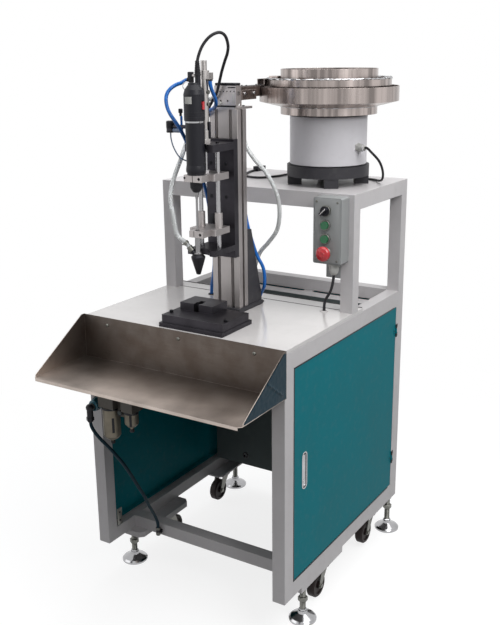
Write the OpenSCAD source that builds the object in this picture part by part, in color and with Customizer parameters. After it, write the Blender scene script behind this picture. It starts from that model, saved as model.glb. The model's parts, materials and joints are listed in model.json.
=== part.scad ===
// Bench machine that feeds screws from a vibrating bowl and drives them with a sliding head

/* [Base frame] */
// Width across the outer faces of the legs
frame_w = 650; // [620:10:700]
// Depth from the front leg faces to the rear leg faces
frame_d = 750; // [740:10:800]
// Side of the square frame tube
tube = 38; // [36:1:40]
// Wall of the square frame tube
tube_wall = 2; // [1.5:0.5:3]
// Height of the table surface above the floor
table_h = 850; // [840:5:900]
// Underside of the frame above the floor
leg_clear = 130; // [130:1:136]
// Setback of the lower front rail from the front leg faces
rail_set = 124; // [110:1:140]

/* [Table and tray] */
// Thickness of the table plate
table_t = 10; // [8:1:12]
// Seam between the table plate and its rear strip, from the front edge
table_seam = 400; // [396:1:404]
// Rear end of the table strip, from the front edge
table_end = 452; // [440:1:470]
// Reach of the sheet tray in front of the legs
tray_reach = 214; // [180:2:240]
// Depth of the tray floor below the table surface
tray_drop = 123; // [100:1:126]
// Sheet thickness of the tray
tray_t = 1.5; // [1:0.5:2]
// Overhang of the tray sides past the legs
tray_over = 5; // [4:0.5:6]

/* [Panels and door] */
// Width of the jamb bars round the side openings
jamb_w = 10; // [8:1:12]
// Thickness of the jamb bars
jamb_t = 3; // [2:0.5:4]
// Gap between the door and its jamb
door_gap = 2.5; // [2:0.1:3]
// Depth of the folded door edge
door_depth = 20; // [18:1:24]
// Sheet thickness of the door and the panels
sheet = 1.5; // [1:0.5:2]
// Upper door hinge below the top of the door opening
hinge_drop = 78; // [62:1:102]
// Lower door hinge above the bottom of the door opening
hinge_rise = 101; // [82:1:122]
// Door lock centre above the middle of the door opening
lock_lift = 0; // [-45:1:55]
// Lock centre behind the front leg faces
lock_set = 106; // [100:1:130]
// Partition front face behind the front leg faces
part_set = 588; // [580:1:600]

/* [Feet and casters] */
// Diameter of the levelling pads
pad_d = 80; // [70:1:86]
// Diameter of the levelling stems
stem_d = 16; // [12:1:18]
// Diameter of the caster wheels
wheel_d = 75; // [70:1:75]
// Width of the caster wheels over the tyre
wheel_w = 26; // [24:1:26]
// Trail of the caster wheels behind their kingpin
caster_trail = 30; // [28:1:32]
// Mounting face to wheel bottom
caster_h = 109; // [108:0.5:111]
// Thickness of the front base plates
base_front_t = 18; // [16:1:18]
// Thickness of the rear base plates
base_rear_t = 6; // [5:1:10]

/* [Bridge] */
// Front face of the bridge behind the front leg faces
bridge_set = 380; // [376:1:390]
// Height of the bridge shelf above the table
shelf_rise = 335; // [325:1:345]
// Thickness of the shelf plate
shelf_t = 6; // [4:1:8]

/* [Column and slide] */
// Column front face behind the front table edge
column_set = 234; // [228:1:236]
// Width of the column extrusion
column_w = 90; // [88:1:92]
// Depth of the column extrusion
column_d = 45; // [44:1:46]
// Column length above its base plate
column_h = 550; // [546:1:556]
// Thickness of the slide back plate
slide_t = 20; // [18:1:22]
// Height of the slide back plate
slide_h = 323; // [322:1:330]
// Diameter of the guide rods
rod_d = 12; // [10:1:14]
// Spacing of the guide rods
rod_gap = 57; // [56:1:58]
// Running clearance of sliding and turning fits, on the radius
run_fit = 0.05; // [0.02:0.01:0.08]

/* [Driver and nozzle] */
// Driver axis in front of the slide back plate
bit_reach = 113; // [110:1:116]
// Diameter of the driver barrel
driver_d = 54; // [50:1:56]
// Diameter of the screw bit
bit_d = 6; // [5:0.5:6.5]
// Largest diameter of the screw nozzle
nozzle_d = 38; // [34:1:40]
// Stroke of the driver carriage, shown for the clearances
head_stroke = 100; // [80:1:100]

/* [Bowl feeder] */
// Inner radius of the feeder bowl
bowl_r = 137; // [134:1:138]
// Radius of the return pan round the bowl
pan_r = 200; // [196:1:200]
// Height of the bowl wall above its clamp disc
bowl_h = 113; // [108:1:118]
// Turns of the climbing track inside the bowl
track_turns = 1.25; // [1:0.25:1.75]
// Width of the climbing track
track_w = 16; // [12:1:20]
// Radius of the drum under the bowl
drum_r = 112; // [108:1:116]

/* [Control box] */
// Width of the control box
panel_w = 85; // [80:1:90]
// Height of the control box
panel_h = 183; // [180:1:190]
// Depth of the control box
panel_d = 48; // [44:1:50]
// Diameter of the button heads
button_d = 22; // [18:1:22]

/* [Fixture] */
// Width of the nest block
nest_w = 107; // [90:1:110]
// Width of the nest slot under the bit
nest_slot = 16; // [12:1:20]

/* [Hidden] */
$fn = 48;

frame_grey = [0.73, 0.72, 0.71];
table_white = [0.88, 0.87, 0.86];
steel = [0.55, 0.52, 0.50];
teal = [0.16, 0.45, 0.48];
dark = [0.20, 0.20, 0.21];
black = [0.13, 0.13, 0.15];
zinc = [0.66, 0.66, 0.66];
alu = [0.72, 0.70, 0.70];
red = [0.75, 0.16, 0.18];
green = [0.12, 0.42, 0.26];
blue = [0.16, 0.38, 0.75];
clear = [0.85, 0.87, 0.88];
smoke = [0.45, 0.42, 0.36];

xo = frame_w / 2;
xi = xo - tube;
pad_over = pad_d / 2 - tube / 2;
yf = (tray_reach - frame_d - pad_over) / 2;
yr = yf + frame_d;
zf = leg_clear;
zt = table_h - table_t;

open_y0 = yf + tube + jamb_w;
open_y1 = yr - tube - jamb_w;
open_z0 = zf + tube + jamb_w;
open_z1 = zt - tube - jamb_w;
weld = 0.05;
panel_fit = 0.5;
hinge_r = 2.5;
pin_r = 1.2;
hinge_len = 40;
hinge_part = 16;
leaf_w = 14;
leaf_t = 1;
hinge_hi = open_z1 - hinge_drop;
hinge_lo = open_z0 + hinge_rise;
hinge_x = xo + hinge_r;
hinge_y = open_y1 - door_gap / 2;
lock_y = yf + lock_set;
lock_z = (open_z0 + open_z1) / 2 + lock_lift;
lock_w = 28;
lock_h = 108;
lock_rim = 2;
lever_pin_z = lock_z + 40;
lever_pin_x = xo - 4;
part_y = yf + part_set;
part_t = 2;
part_z0 = zf + tube + 9;
part_z1 = zt - 20;

foot_x = xo - tube / 2;
foot_yf = yf + 137;
foot_yr = yr - tube / 2;
king_x = xo - 40;
king_yf = yf + 285;
king_yr = yf + 615;
plate_w = 85;

by = yf + bridge_set;
shelf_h = table_h + shelf_rise;
shelf_z = shelf_h - shelf_t;

col_y = yf + column_set;
col_z0 = table_h + 12;
col_z1 = col_z0 + column_h;
slide_y = col_y - slide_t;
slide_z = table_h + 163;
rod_y = slide_y - 53;
cyl_y = slide_y - 66;
bit_y = slide_y - bit_reach;
rod_x = rod_gap / 2;
rod_r = rod_d / 2;
flange_lo = slide_z + 21;
flange_lo_t = 16;
flange_hi = slide_z + 297;
flange_hi_t = 20;
flange_y = slide_y - 98;
clamp_hi = slide_z + 222;
clamp_hi_t = 18;
clamp_lo = slide_z + 76;
clamp_lo_t = 17;
clamp_y0 = bit_y - 17.5;
clamp_y1 = rod_y - 37.5;
clamp_y2 = rod_y + 33.5;
clamp_w = 42;
jaw_w = 28;
bush_r = 10.5;
bush_rise = 40;
neck_r = 11.5;
nose_r = 9;
nose_z = clamp_hi - 27;
driver_r = driver_d / 2;
driver_top = clamp_hi + 251;
relief = [6, bit_y + 10];
cable_z = driver_top + 38;
bit_r = bit_d / 2;
nozzle_r = nozzle_d / 2;
nozzle_top = clamp_lo - 48;
nozzle_tip = clamp_lo - 103;
port_dir = [-0.6, -0.2, 0.775];
port_at = [0, bit_y, clamp_lo - 59];
port_len = 32;

esc_x = 4.5;
esc_w = 69;
esc_d = 26;
esc_z0 = col_z1 + 6;
esc_z1 = esc_z0 + 56;
esc_y0 = col_y + 4;
esc_y1 = esc_y0 + esc_d;
esc_plate = esc_y0 + 82;
slot_z = esc_z0 + 36;

bowl_y = yr - 198;
foot_z = shelf_h + 26;
drum_z0 = foot_z + 32;
bowl_gap = 0.4;
disc_z0 = shelf_h + 202;
disc_z1 = disc_z0 + 12;
drum_z1 = disc_z0 - bowl_gap;
wall_t = 2;
bowl_top = disc_z1 + bowl_h;
ledge_z = disc_z1 + 67;
ledge_t = 3;
chute_x = -155;
bowl_x = -chute_x;
chute_len = 122;
track_room = 13.5;
gland_angle = -15;
gland_z = shelf_h + 112;
track_z1 = ledge_z;

box_x1 = xo - 15;
box_x0 = box_x1 - panel_w;
box_y1 = by;
box_y0 = box_y1 - panel_d;
box_z1 = shelf_h - 5;
box_z0 = box_z1 - panel_h;
face_t = 2;
face_y = box_y0 - face_t;
btn_x = box_x1 - 45.5;
btn_r = button_d / 2;
btn_travel = 4;
bezel_h = 6;
btn_z = [box_z1 - 35, box_z1 - 74, box_z1 - 112, box_z1 - 151.5];
cable_in = [box_x1 - 29, box_y1 - 30];

air_y = yf - 30;
air_z = table_h - 246;
head_a = -xo + 102;
head_b = -xo + 175;
knob_z = air_z + 58;
valve_z = air_z - 4;
valve_x = -xo + 52;
valve_y = air_y - 33.5;

slot_y = yf + bridge_set - 14;
loop_hole = [-140, slot_y - 3];
panel_hole = [xo - 82, slot_y + 2];
trunk_z = zt - 38;

// Block between two corners
module block(lo, hi) {
  translate(lo)
    cube(hi - lo);
}

// Rounded rectangle from a corner
module rounded(w, h, r) {
  translate([r, 0])
    square([w - 2 * r, h]);
  translate([0, r])
    square([w, h - 2 * r]);
  for (x = [r, w - r], y = [r, h - r])
    translate([x, y])
      circle(r);
}

// Square tube between two corners, hollow along one axis
module square_tube(lo, hi, axis) {
  skin = [for (i = [0:2]) i == axis ? -1 : tube_wall];
  difference() {
    block(lo, hi);
    block(lo + skin, hi - skin);
  }
}

// Upright square tube, closed at its foot
module post(x, y, z0, z1) {
  difference() {
    block([x, y, z0], [x + tube, y + tube, z1]);
    block([x + tube_wall, y + tube_wall, z0 + tube_wall],
      [x + tube - tube_wall, y + tube - tube_wall, z1 + 1]);
  }
}

// Cylinder along a free direction
module aimed(at, dir, r, len) {
  translate(at)
    rotate([0, acos(dir[2] / norm(dir)), atan2(dir[1], dir[0])])
      cylinder(r = r, h = len);
}

// Faces between rings of points, clockwise seen from outside
module skin(rings) {
  n = len(rings[0]);
  last = len(rings) - 1;
  sides = [for (i = [0:last - 1], k = [0:n - 1])
    [i * n + k, (i + 1) * n + k, (i + 1) * n + (k + 1) % n, i * n + (k + 1) % n]];
  ends = [[for (k = [0:n - 1]) k], [for (k = [0:n - 1]) last * n + n - 1 - k]];
  polyhedron([for (ring = rings) each ring], concat(sides, ends), convexity = 8);
}

function unit(v) = v / norm(v);
function tangent(p, i) = unit(p[min(i + 1, len(p) - 1)] - p[max(i - 1, 0)]);
function across(n, t) = unit(n - (n * t) * t);
function normals(p, i, n) = i == len(p) ? []
  : let (m = across(n, tangent(p, i))) concat([m], normals(p, i + 1, m));

// Round cord swept along a route
module cord(route, r, sides) {
  start = tangent(route, 0);
  seed = abs(start[2]) > 0.9 ? [1, 0, 0] : [0, 0, 1];
  side = normals(route, 0, seed);
  skin([for (i = [0:len(route) - 1])
    let (t = tangent(route, i), b = cross(t, side[i]))
      [for (k = [0:sides - 1])
        route[i] + r * (cos(360 * k / sides) * side[i] + sin(360 * k / sides) * b)]]);
}

// Climbing ramp with a fixed section, listed clockwise as radius and height
module ramp(section, a0, a1, z0, z1, steps) {
  skin([for (i = [0:steps])
    let (f = i / steps, a = a0 + (a1 - a0) * f, z = z0 + (z1 - z0) * f)
      [for (q = section) [q[0] * cos(a), q[0] * sin(a), q[1] + z]]]);
}

// Four jamb bars round a side opening
module side_opening_bars(x) {
  y0 = yf + tube + weld;
  y1 = yr - tube - weld;
  for (z = [zf + tube + weld, open_z1])
    block([x, y0, z], [x + jamb_t, y1, z + jamb_w - weld]);
  for (y = [y0, open_y1])
    block([x, y, open_z0 + weld], [x + jamb_t, y + jamb_w - weld, open_z1 - weld]);
}

module base_plate(side, y0, y1, t) {
  w = plate_w;
  x0 = side > 0 ? xo - w : -xo;
  translate([x0, y0, zf - t])
    linear_extrude(t - weld)
      difference() {
        square([w, y1 - y0]);
        for (y = [0, y1 - y0])
          translate([side > 0 ? 0 : w, y])
            rotate(45)
              square(20, center = true);
      }
}

module base_frame() {
  color(frame_grey)
    difference() {
      union() {
        for (x = [-xo, xi], y = [yf, yr - tube])
          post(x, y, zf, zt);
        for (x = [-xo, xi], z = [zf, zt - tube])
          square_tube([x, yf + tube + weld, z], [x + tube, yr - tube - weld, z + tube], 1);
        for (y = [yf, by, yr - tube])
          square_tube([-xi + weld, y, zt - tube], [xi - weld, y + tube, zt], 0);
        for (y = [yf + rail_set, yr - tube])
          square_tube([-xi + weld, y, zf], [xi - weld, y + tube, zf + tube], 0);
        side_opening_bars(-xo);
        side_opening_bars(xo - jamb_t);
        for (s = [-1, 1]) {
          base_plate(s, yf + 95, yf + 349, base_front_t);
          base_plate(s, yf + 540, yr, base_rear_t);
        }
      }
      for (s = [-1, 1], y = [foot_yf, foot_yr])
        translate([s * foot_x, y, zf - base_front_t - 1])
          cylinder(d = stem_d + 0.4, h = base_front_t + tube_wall + 2);
    }
}

module table_top() {
  color(table_white) {
    difference() {
      block([-xo, yf, zt], [xo, yf + table_seam, table_h]);
      translate([0, 0, zt - 1])
        linear_extrude(table_t + 2) {
          translate([-40, slot_y - 10])
            rounded(80, 20, 9);
          translate(loop_hole)
            circle(7);
          translate(panel_hole)
            circle(8);
        }
    }
    block([-xo, yf + table_seam + 0.8, zt], [xo, yf + table_end, table_h]);
  }
}

module tray() {
  x1 = xo + tray_over;
  z0 = table_h - tray_drop;
  hem = 7;
  color(steel)
    union() {
      block([-x1, yf - tray_t, z0], [x1, yf, table_h + 3]);
      translate([-x1, yf - tray_reach, z0])
        linear_extrude(tray_t)
          difference() {
            square([2 * x1, tray_reach]);
            for (x = [0, 2 * x1])
              translate([x, 0])
                rotate(45)
                  square(12, center = true);
          }
      block([-x1 + 9, yf - tray_reach, z0 - hem], [x1 - 9, yf - tray_reach + tray_t, z0 + tray_t]);
      for (x = [-x1, x1 - tray_t])
        translate([x, 0, 0])
          rotate([90, 0, 90])
            linear_extrude(tray_t)
              polygon([[yf, z0], [yf, table_h + 3], [yf - 12, table_h + 3],
                [yf - tray_reach + 10, z0 + 6], [yf - tray_reach + 10, z0]]);
    }
}

// Folded sheet pan, open toward the inside of the machine
module side_pan(x_out, x_in, gap) {
  s = x_out > x_in ? 1 : -1;
  lo = min(x_out, x_in);
  hi = max(x_out, x_in);
  cut_lo = s > 0 ? lo - 1 : lo + sheet;
  cut_hi = s > 0 ? hi - sheet : hi + 1;
  difference() {
    block([lo, open_y0 + gap, open_z0 + gap], [hi, open_y1 - gap, open_z1 - gap]);
    block([cut_lo, open_y0 + gap + sheet, open_z0 + gap + sheet],
      [cut_hi, open_y1 - gap - sheet, open_z1 - gap - sheet]);
  }
}

module fixed_panels() {
  color(teal) {
    side_pan(-xo, -xo + door_depth, panel_fit);
    block([-xi + panel_fit, yr - 2, zf + tube + panel_fit], [xi - panel_fit, yr, zt - tube - panel_fit]);
  }
}

module partition() {
  fold = 15;
  color(dark)
    difference() {
      union() {
        block([-xi, part_y, part_z0], [xi, part_y + part_t, part_z1]);
        for (x = [-xi, xi - part_t])
          block([x, part_y, part_z0], [x + part_t, part_y + fold, part_z1]);
      }
      translate([-xo + 157, part_y - 1, part_z0 + 35])
        rotate([-90, 0, 0])
          cylinder(r = 8, h = part_t + 2);
    }
}

module cabinet_electrics() {
  y0 = part_y + part_t;
  y1 = y0 + 2.2;
  zc = (part_z0 + part_z1) / 2;
  color(frame_grey) {
    block([-220, y0, zc - 230], [220, y0 + 2, zc + 230]);
    for (z = [zc - 205, zc + 15, zc + 195])
      block([-205, y1, z], [205, y1 + 40, z + 30]);
    block([-190, y1, zc + 75], [-40, y1 + 70, zc + 165]);
    block([-30, y1, zc + 70], [30, y1 + 75, zc + 175]);
    for (i = [0:3])
      block([45 + i * 30, y1, zc + 90], [70 + i * 30, y1 + 60, zc + 155]);
    for (i = [0:15])
      block([-190 + i * 12, y1, zc - 120], [-180 + i * 12, y1 + 45, zc - 70]);
    block([40, y1, zc - 140], [190, y1 + 30, zc - 110]);
    for (i = [0:4])
      block([48 + i * 28, y1, zc - 109.8], [72 + i * 28, y1 + 32, zc - 45]);
    block([loop_hole[0] - 20, slot_y - 20, trunk_z], [panel_hole[0] + 22, by, zt]);
    block([-30, slot_y - 20, trunk_z - 40], [30, part_y, trunk_z - weld]);
  }
}

module hinge_barrel(z, len) {
  translate([hinge_x, hinge_y, z])
    cylinder(r = hinge_r, h = len);
}

module door() {
  gap = door_gap;
  color(teal)
    difference() {
      union() {
        side_pan(xo, xo - door_depth, gap);
        for (z = [hinge_lo, hinge_hi]) {
          hinge_barrel(z - hinge_part / 2, hinge_part);
          block([xo, hinge_y - gap / 2 - leaf_w, z - hinge_part / 2],
            [xo + leaf_t, hinge_y - 0.2, z + hinge_part / 2]);
        }
      }
      for (z = [hinge_lo, hinge_hi])
        translate([hinge_x, hinge_y, z - hinge_len])
          cylinder(r = pin_r + run_fit, h = 2 * hinge_len);
      lock_shape(xo - sheet - 1, sheet + 2, lock_rim);
    }
}

module door_hinges() {
  part = (hinge_len - hinge_part) / 2 - 0.5;
  color(dark)
    for (z = [hinge_lo, hinge_hi]) {
      translate([hinge_x, hinge_y, z - hinge_len / 2])
        cylinder(r = pin_r, h = hinge_len);
      for (z0 = [z - hinge_len / 2, z + hinge_len / 2 - part]) {
        hinge_barrel(z0, part);
        block([xo, hinge_y + 0.2, z0], [xo + leaf_t, hinge_y + leaf_w, z0 + part]);
      }
    }
}

module lock_shape(x, t, inset) {
  translate([x, lock_y - lock_w / 2 + inset, lock_z - lock_h / 2 + inset])
    rotate([90, 0, 90])
      linear_extrude(t)
        rounded(lock_w - 2 * inset, lock_h - 2 * inset, lock_w / 2 - inset - 0.5);
}

module door_lock() {
  wall = 1;
  tub = 11;
  edge = lock_rim + 0.2;
  color(zinc) {
    difference() {
      union() {
        lock_shape(xo, leaf_t, 0);
        lock_shape(xo - tub, tub + 0.5, edge);
      }
      lock_shape(xo - tub + wall, tub + 2, edge + wall);
    }
    translate([lever_pin_x, lock_y - lock_w / 2 + edge, lever_pin_z])
      rotate([-90, 0, 0])
        cylinder(r = 1.5, h = lock_w - 2 * edge);
  }
}

module door_lever() {
  w = lock_w - 2 * lock_rim - 4;
  len = lever_pin_z + 4 - (lock_z - lock_h / 2 + 7);
  color(zinc)
    difference() {
      translate([xo - 6.5, lock_y - w / 2, lock_z - lock_h / 2 + 7])
        rotate([90, 0, 90])
          linear_extrude(5) {
            rounded(w, len, 9);
            translate([0, len / 2])
              square([w, len / 2]);
          }
      translate([lever_pin_x, lock_y - w, lever_pin_z])
        rotate([-90, 0, 0])
          cylinder(r = 1.5 + run_fit, h = 2 * w);
    }
}

module levelling_foot(x, y, z_plate) {
  pad_r = pad_d / 2;
  stem_r = stem_d / 2;
  translate([x, y, 0]) {
    rotate_extrude()
      polygon([[0, 0], [pad_r - 2, 0], [pad_r, 2], [pad_r, 7], [pad_r - 5, 12], [pad_r - 18, 18],
        [stem_r + 6, 22], [stem_r + 5, 30], [0, 30]]);
    translate([0, 0, 30.1])
      cylinder(r = stem_r, h = zf + 20 - 30.1);
    translate([0, 0, z_plate - 12])
      difference() {
        cylinder(r = stem_r + 5.5, h = 12, $fn = 6);
        translate([0, 0, -1])
          cylinder(r = stem_r + 0.1, h = 14);
      }
  }
}

module levelling_feet() {
  color(zinc)
    for (s = [-1, 1]) {
      levelling_foot(s * foot_x, foot_yf, zf - base_front_t);
      levelling_foot(s * foot_x, foot_yr, zf - base_rear_t);
    }
}

king_r = 6;
race_r = 24;
axle_r = 4;
cheek = 3;

module caster_mount(x, y, z) {
  translate([x, y, z])
    union() {
      translate([-33, -33, -4])
        linear_extrude(4)
          rounded(66, 66, 6);
      translate([0, 0, -15])
        cylinder(r = race_r, h = 11.5);
      translate([0, 0, -28])
        cylinder(r = king_r, h = 14);
      translate([0, 0, -28])
        cylinder(r = 10, h = 7.5, $fn = 6);
    }
}

module caster_mounts() {
  color(zinc)
    for (s = [-1, 1]) {
      caster_mount(s * king_x, king_yf, zf - base_front_t);
      caster_mount(s * king_x, king_yr, zf - base_rear_t);
    }
}

axle_z = wheel_d / 2 - caster_h;
cheek_x = wheel_w / 2 + 1.5;

// Fork trailing toward -Y from its kingpin
module fork() {
  color(zinc)
    difference() {
      union() {
        translate([0, 0, -20.1])
          cylinder(r = race_r + 3, h = 4.7);
        for (s = [-1, 1])
          translate([s > 0 ? cheek_x : -cheek_x - cheek, 0, 0])
            rotate([90, 0, 90])
              linear_extrude(cheek) {
                polygon([[18, -19], [-20, -19], [-caster_trail - 9, axle_z],
                  [-caster_trail + 9, axle_z]]);
                translate([-caster_trail, axle_z])
                  circle(9);
              }
        translate([-cheek_x - cheek - 3, -caster_trail, axle_z])
          rotate([0, 90, 0])
            cylinder(r = axle_r, h = 2 * (cheek_x + cheek + 3));
        for (x = [-cheek_x - cheek - 4, cheek_x + cheek])
          translate([x, -caster_trail, axle_z])
            rotate([0, 90, 0])
              cylinder(r = 7, h = 4, $fn = 6);
      }
      translate([0, 0, -40])
        cylinder(r = king_r + run_fit, h = 40);
    }
}

module wheel() {
  r = wheel_d / 2;
  w = wheel_w / 2;
  hub = w + 1;
  color(black)
    translate([0, -caster_trail, axle_z])
      rotate([0, 90, 0])
        rotate_extrude()
          polygon([[axle_r + run_fit, -hub], [11, -hub], [11, 4 - w], [26, 4 - w], [27, -w],
            [r - 4, -w], [r, 4 - w], [r, w - 4], [r - 4, w], [27, w], [26, w - 4], [11, w - 4],
            [11, hub], [axle_r + run_fit, hub]]);
}

module at_caster(x, y, t, turn) {
  translate([x, y, zf - t])
    rotate(turn)
      children();
}

module caster_fork_fl() { at_caster(-king_x, king_yf, base_front_t, 180) fork(); }
module caster_fork_fr() { at_caster(king_x, king_yf, base_front_t, 0) fork(); }
module caster_fork_rl() { at_caster(-king_x, king_yr, base_rear_t, 0) fork(); }
module caster_fork_rr() { at_caster(king_x, king_yr, base_rear_t, 0) fork(); }
module caster_wheel_fl() { at_caster(-king_x, king_yf, base_front_t, 180) wheel(); }
module caster_wheel_fr() { at_caster(king_x, king_yf, base_front_t, 0) wheel(); }
module caster_wheel_rl() { at_caster(-king_x, king_yr, base_rear_t, 0) wheel(); }
module caster_wheel_rr() { at_caster(king_x, king_yr, base_rear_t, 0) wheel(); }

module bridge_frame() {
  z0 = shelf_z - tube;
  color(frame_grey)
    union() {
      for (x = [-xo, xi]) {
        post(x, by, table_h, shelf_z);
        post(x, yr - tube, zt, shelf_z);
        square_tube([x, by + tube + weld, z0], [x + tube, yr - tube - weld, shelf_z], 1);
      }
      for (y = [by, yr - tube])
        square_tube([-xi + weld, y, z0], [xi - weld, y + tube, shelf_z], 0);
      block([-xo, by, shelf_z + weld], [xo, yr, shelf_h]);
    }
}

// Groove of the column extrusion, opening toward -Y at the origin
module groove() {
  translate([-5, -1])
    square([10, 6]);
  polygon([[-10, 4.5], [10, 4.5], [10, 9], [5.5, 13.5], [-5.5, 13.5], [-10, 9]]);
}

module column_profile() {
  w = column_w;
  d = column_d;
  difference() {
    translate([-w / 2, 0])
      rounded(w, d, 1.5);
    for (x = [-w / 4, w / 4]) {
      translate([x, 0])
        groove();
      translate([x, d])
        rotate(180)
          groove();
      translate([x, d / 2])
        circle(4.2);
    }
    for (s = [-1, 1])
      translate([s * w / 2, d / 2])
        rotate(90 * s)
          groove();
    translate([-6, d / 2 - 11])
      square([12, 22]);
  }
}

module column() {
  color(alu)
    translate([0, col_y, col_z0])
      linear_extrude(column_h)
        column_profile();
}

module column_base() {
  w = column_w / 2 + 5;
  rib = 12;
  web = 15;
  y1 = col_y + column_d;
  y2 = col_y + 118;
  z2 = col_z0 + 218;
  color(black)
    union() {
      block([-w, col_y - 10, table_h], [w, y2, col_z0]);
      block([-w + 5, y1, col_z0 - 1], [w - 5, y1 + web, z2]);
      for (x = [-w + 5, w - 5 - rib])
        translate([x, 0, 0])
          rotate([90, 0, 90])
            linear_extrude(rib)
              polygon([[y1, col_z0 - 1], [y2, col_z0 - 1], [y2, col_z0 + 14], [y1 + web + 5, z2],
                [y1, z2]]);
    }
}

module slide_frame() {
  w = column_w / 2;
  color(dark)
    difference() {
      union() {
        block([-w, slide_y, slide_z], [w, col_y, slide_z + slide_h]);
        block([-w, flange_y, flange_lo], [w, slide_y, flange_lo + flange_lo_t]);
        block([-w, flange_y, flange_hi], [w, slide_y, flange_hi + flange_hi_t]);
        block([-w, flange_y + 8, flange_hi + flange_hi_t - 1],
          [-w + 10, flange_y + 24, flange_hi + 72]);
        translate([-w + 1, flange_y + 16, flange_hi + 62])
          rotate([0, -90, 0])
            cylinder(r = 5, h = 46);
        translate([-w - 56, flange_y + 16, flange_hi + 46])
          cylinder(r = 11, h = 30);
      }
      for (s = [-1, 1])
        translate([s * rod_x, rod_y, flange_lo - 1])
          cylinder(r = rod_r + 0.02, h = flange_hi + flange_hi_t - flange_lo + 2);
      translate([0, cyl_y, flange_hi - 1])
        cylinder(r = 9, h = flange_hi_t + 2);
      translate([0, bit_y, flange_lo - 1])
        cylinder(r = nozzle_r + 12, h = flange_lo_t + 2);
      translate([0, bit_y, flange_hi - 1])
        cylinder(r = driver_r + 3, h = flange_hi_t + 2);
    }
}

module guide_rods() {
  color(zinc)
    for (s = [-1, 1])
      translate([s * rod_x, rod_y, flange_lo])
        cylinder(r = rod_r, h = flange_hi + flange_hi_t - flange_lo);
}

cyl_r = 13.5;
cyl_z0 = flange_hi + flange_hi_t;
elbow_out = 48;
elbow_z = cyl_z0 + 161;
bore_z0 = cyl_z0 + 34;
bore_z1 = cyl_z0 + 160;
piston_rod_r = 5;
piston_r = 9;

module lift_cylinder() {
  color(alu)
    translate([0, cyl_y, 0])
      difference() {
        union() {
          translate([0, 0, flange_hi + 1])
            cylinder(r = 8.9, h = flange_hi_t);
          translate([0, 0, cyl_z0])
            cylinder(r = 15.5, h = 12, $fn = 6);
          translate([0, 0, cyl_z0 + 12])
            cylinder(r = cyl_r, h = 22);
          translate([0, 0, cyl_z0 + 33])
            cylinder(r = cyl_r - 2.8, h = 132);
          translate([0, 0, cyl_z0 + 164])
            cylinder(r = cyl_r, h = 21);
          translate([0, 0, cyl_z0 + 185])
            cylinder(r = cyl_r - 5.5, h = 25);
          translate([0, 0, cyl_z0 + 172])
            rotate([0, -90, 0])
              cylinder(r = 4.5, h = elbow_out - 6);
          block([-elbow_out, -5.5, elbow_z - 6], [-elbow_out + 12, 5.5, elbow_z + 20]);
          block([cyl_r - 2, -5.5, cyl_z0 + 163], [cyl_r + 11.5, 5.5, cyl_z0 + 180]);
        }
        translate([0, 0, flange_hi])
          cylinder(r = piston_rod_r + run_fit, h = bore_z0 - flange_hi + 1);
        translate([0, 0, bore_z0])
          cylinder(r = piston_r + run_fit, h = bore_z1 - bore_z0);
      }
}

module piston_rod() {
  z1 = bore_z0 + head_stroke + 3;
  color(zinc)
    translate([0, cyl_y, 0]) {
      translate([0, 0, clamp_hi + clamp_hi_t])
        cylinder(r = piston_rod_r, h = z1 - clamp_hi - clamp_hi_t + 1);
      translate([0, 0, clamp_hi + clamp_hi_t])
        cylinder(r = 9, h = 8, $fn = 6);
      translate([0, 0, z1])
        cylinder(r = piston_r, h = 14);
    }
}

module clamp_plate(t, left) {
  linear_extrude(t)
    union() {
      translate([-clamp_w, clamp_y1])
        rounded(2 * clamp_w, clamp_y2 - clamp_y1, 2);
      translate([-left, clamp_y0])
        rounded(left + jaw_w, clamp_y1 - clamp_y0 + 8, 2);
    }
}

module guide_bush(s, z, h) {
  translate([s * rod_x, rod_y, z])
    difference() {
      cylinder(r = bush_r, h = h);
      translate([0, 0, -1])
        cylinder(r = rod_r + run_fit, h = h + 2);
    }
}

// Carriage plate with its two guide bushes and a split jaw on the driver axis
module carriage(z, t, bore, rise, left) {
  color(alu) {
    difference() {
      translate([0, 0, z])
        clamp_plate(t, left);
      for (s = [-1, 1])
        translate([s * rod_x, rod_y, z - 1])
          cylinder(r = bush_r + 0.02, h = t + 2);
      translate([0, bit_y, z - 1])
        cylinder(r = bore, h = t + 2);
      block([-1, clamp_y0 - 1, z - 1], [1, bit_y, z + t + 1]);
      translate([20, clamp_y0 - 1, z + t / 2])
        rotate([-90, 0, 0])
          cylinder(r = 4, h = 13);
    }
    for (s = [-1, 1])
      guide_bush(s, z, t + rise);
  }
}

module driver_clamp() {
  carriage(clamp_hi, clamp_hi_t, neck_r + 0.02, 0, jaw_w);
}

switch_z = clamp_hi + 195;

module driver_body() {
  z0 = nose_z;
  z1 = clamp_hi + clamp_hi_t;
  r = driver_r;
  color(black)
    difference() {
      union() {
        translate([0, bit_y, 0])
          rotate_extrude()
            polygon([[0, z0], [nose_r, z0], [nose_r, clamp_hi], [neck_r, clamp_hi], [neck_r, z1],
              [r - 4, z1], [r - 4, z1 + 22], [r - 3, z1 + 24], [r - 2.5, z1 + 133], [r - 3.5, z1 + 133],
              [r - 3.5, z1 + 139], [r, z1 + 139], [r, z1 + 205], [r - 3, z1 + 216], [r - 12, z1 + 228],
              [r - 13, driver_top], [0, driver_top]]);
        translate([relief[0], relief[1], driver_top - 14])
          cylinder(r = 7, h = 38);
        translate([relief[0], relief[1], driver_top + 20])
          cylinder(r = 5.5, h = cable_z - driver_top - 20);
      }
      translate([0, bit_y, z0 - 1])
        cylinder(r = 4 + run_fit, h = 26);
      block([r - 5, bit_y - 4.2, switch_z - 12.2], [r + 5, bit_y + 4.2, switch_z + 12.2]);
    }
}

module driver_switch() {
  r = driver_r;
  color(red)
    block([r - 4.6, bit_y - 4, switch_z - 9.8], [r + 2.5, bit_y + 4, switch_z + 9.8]);
}

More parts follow.
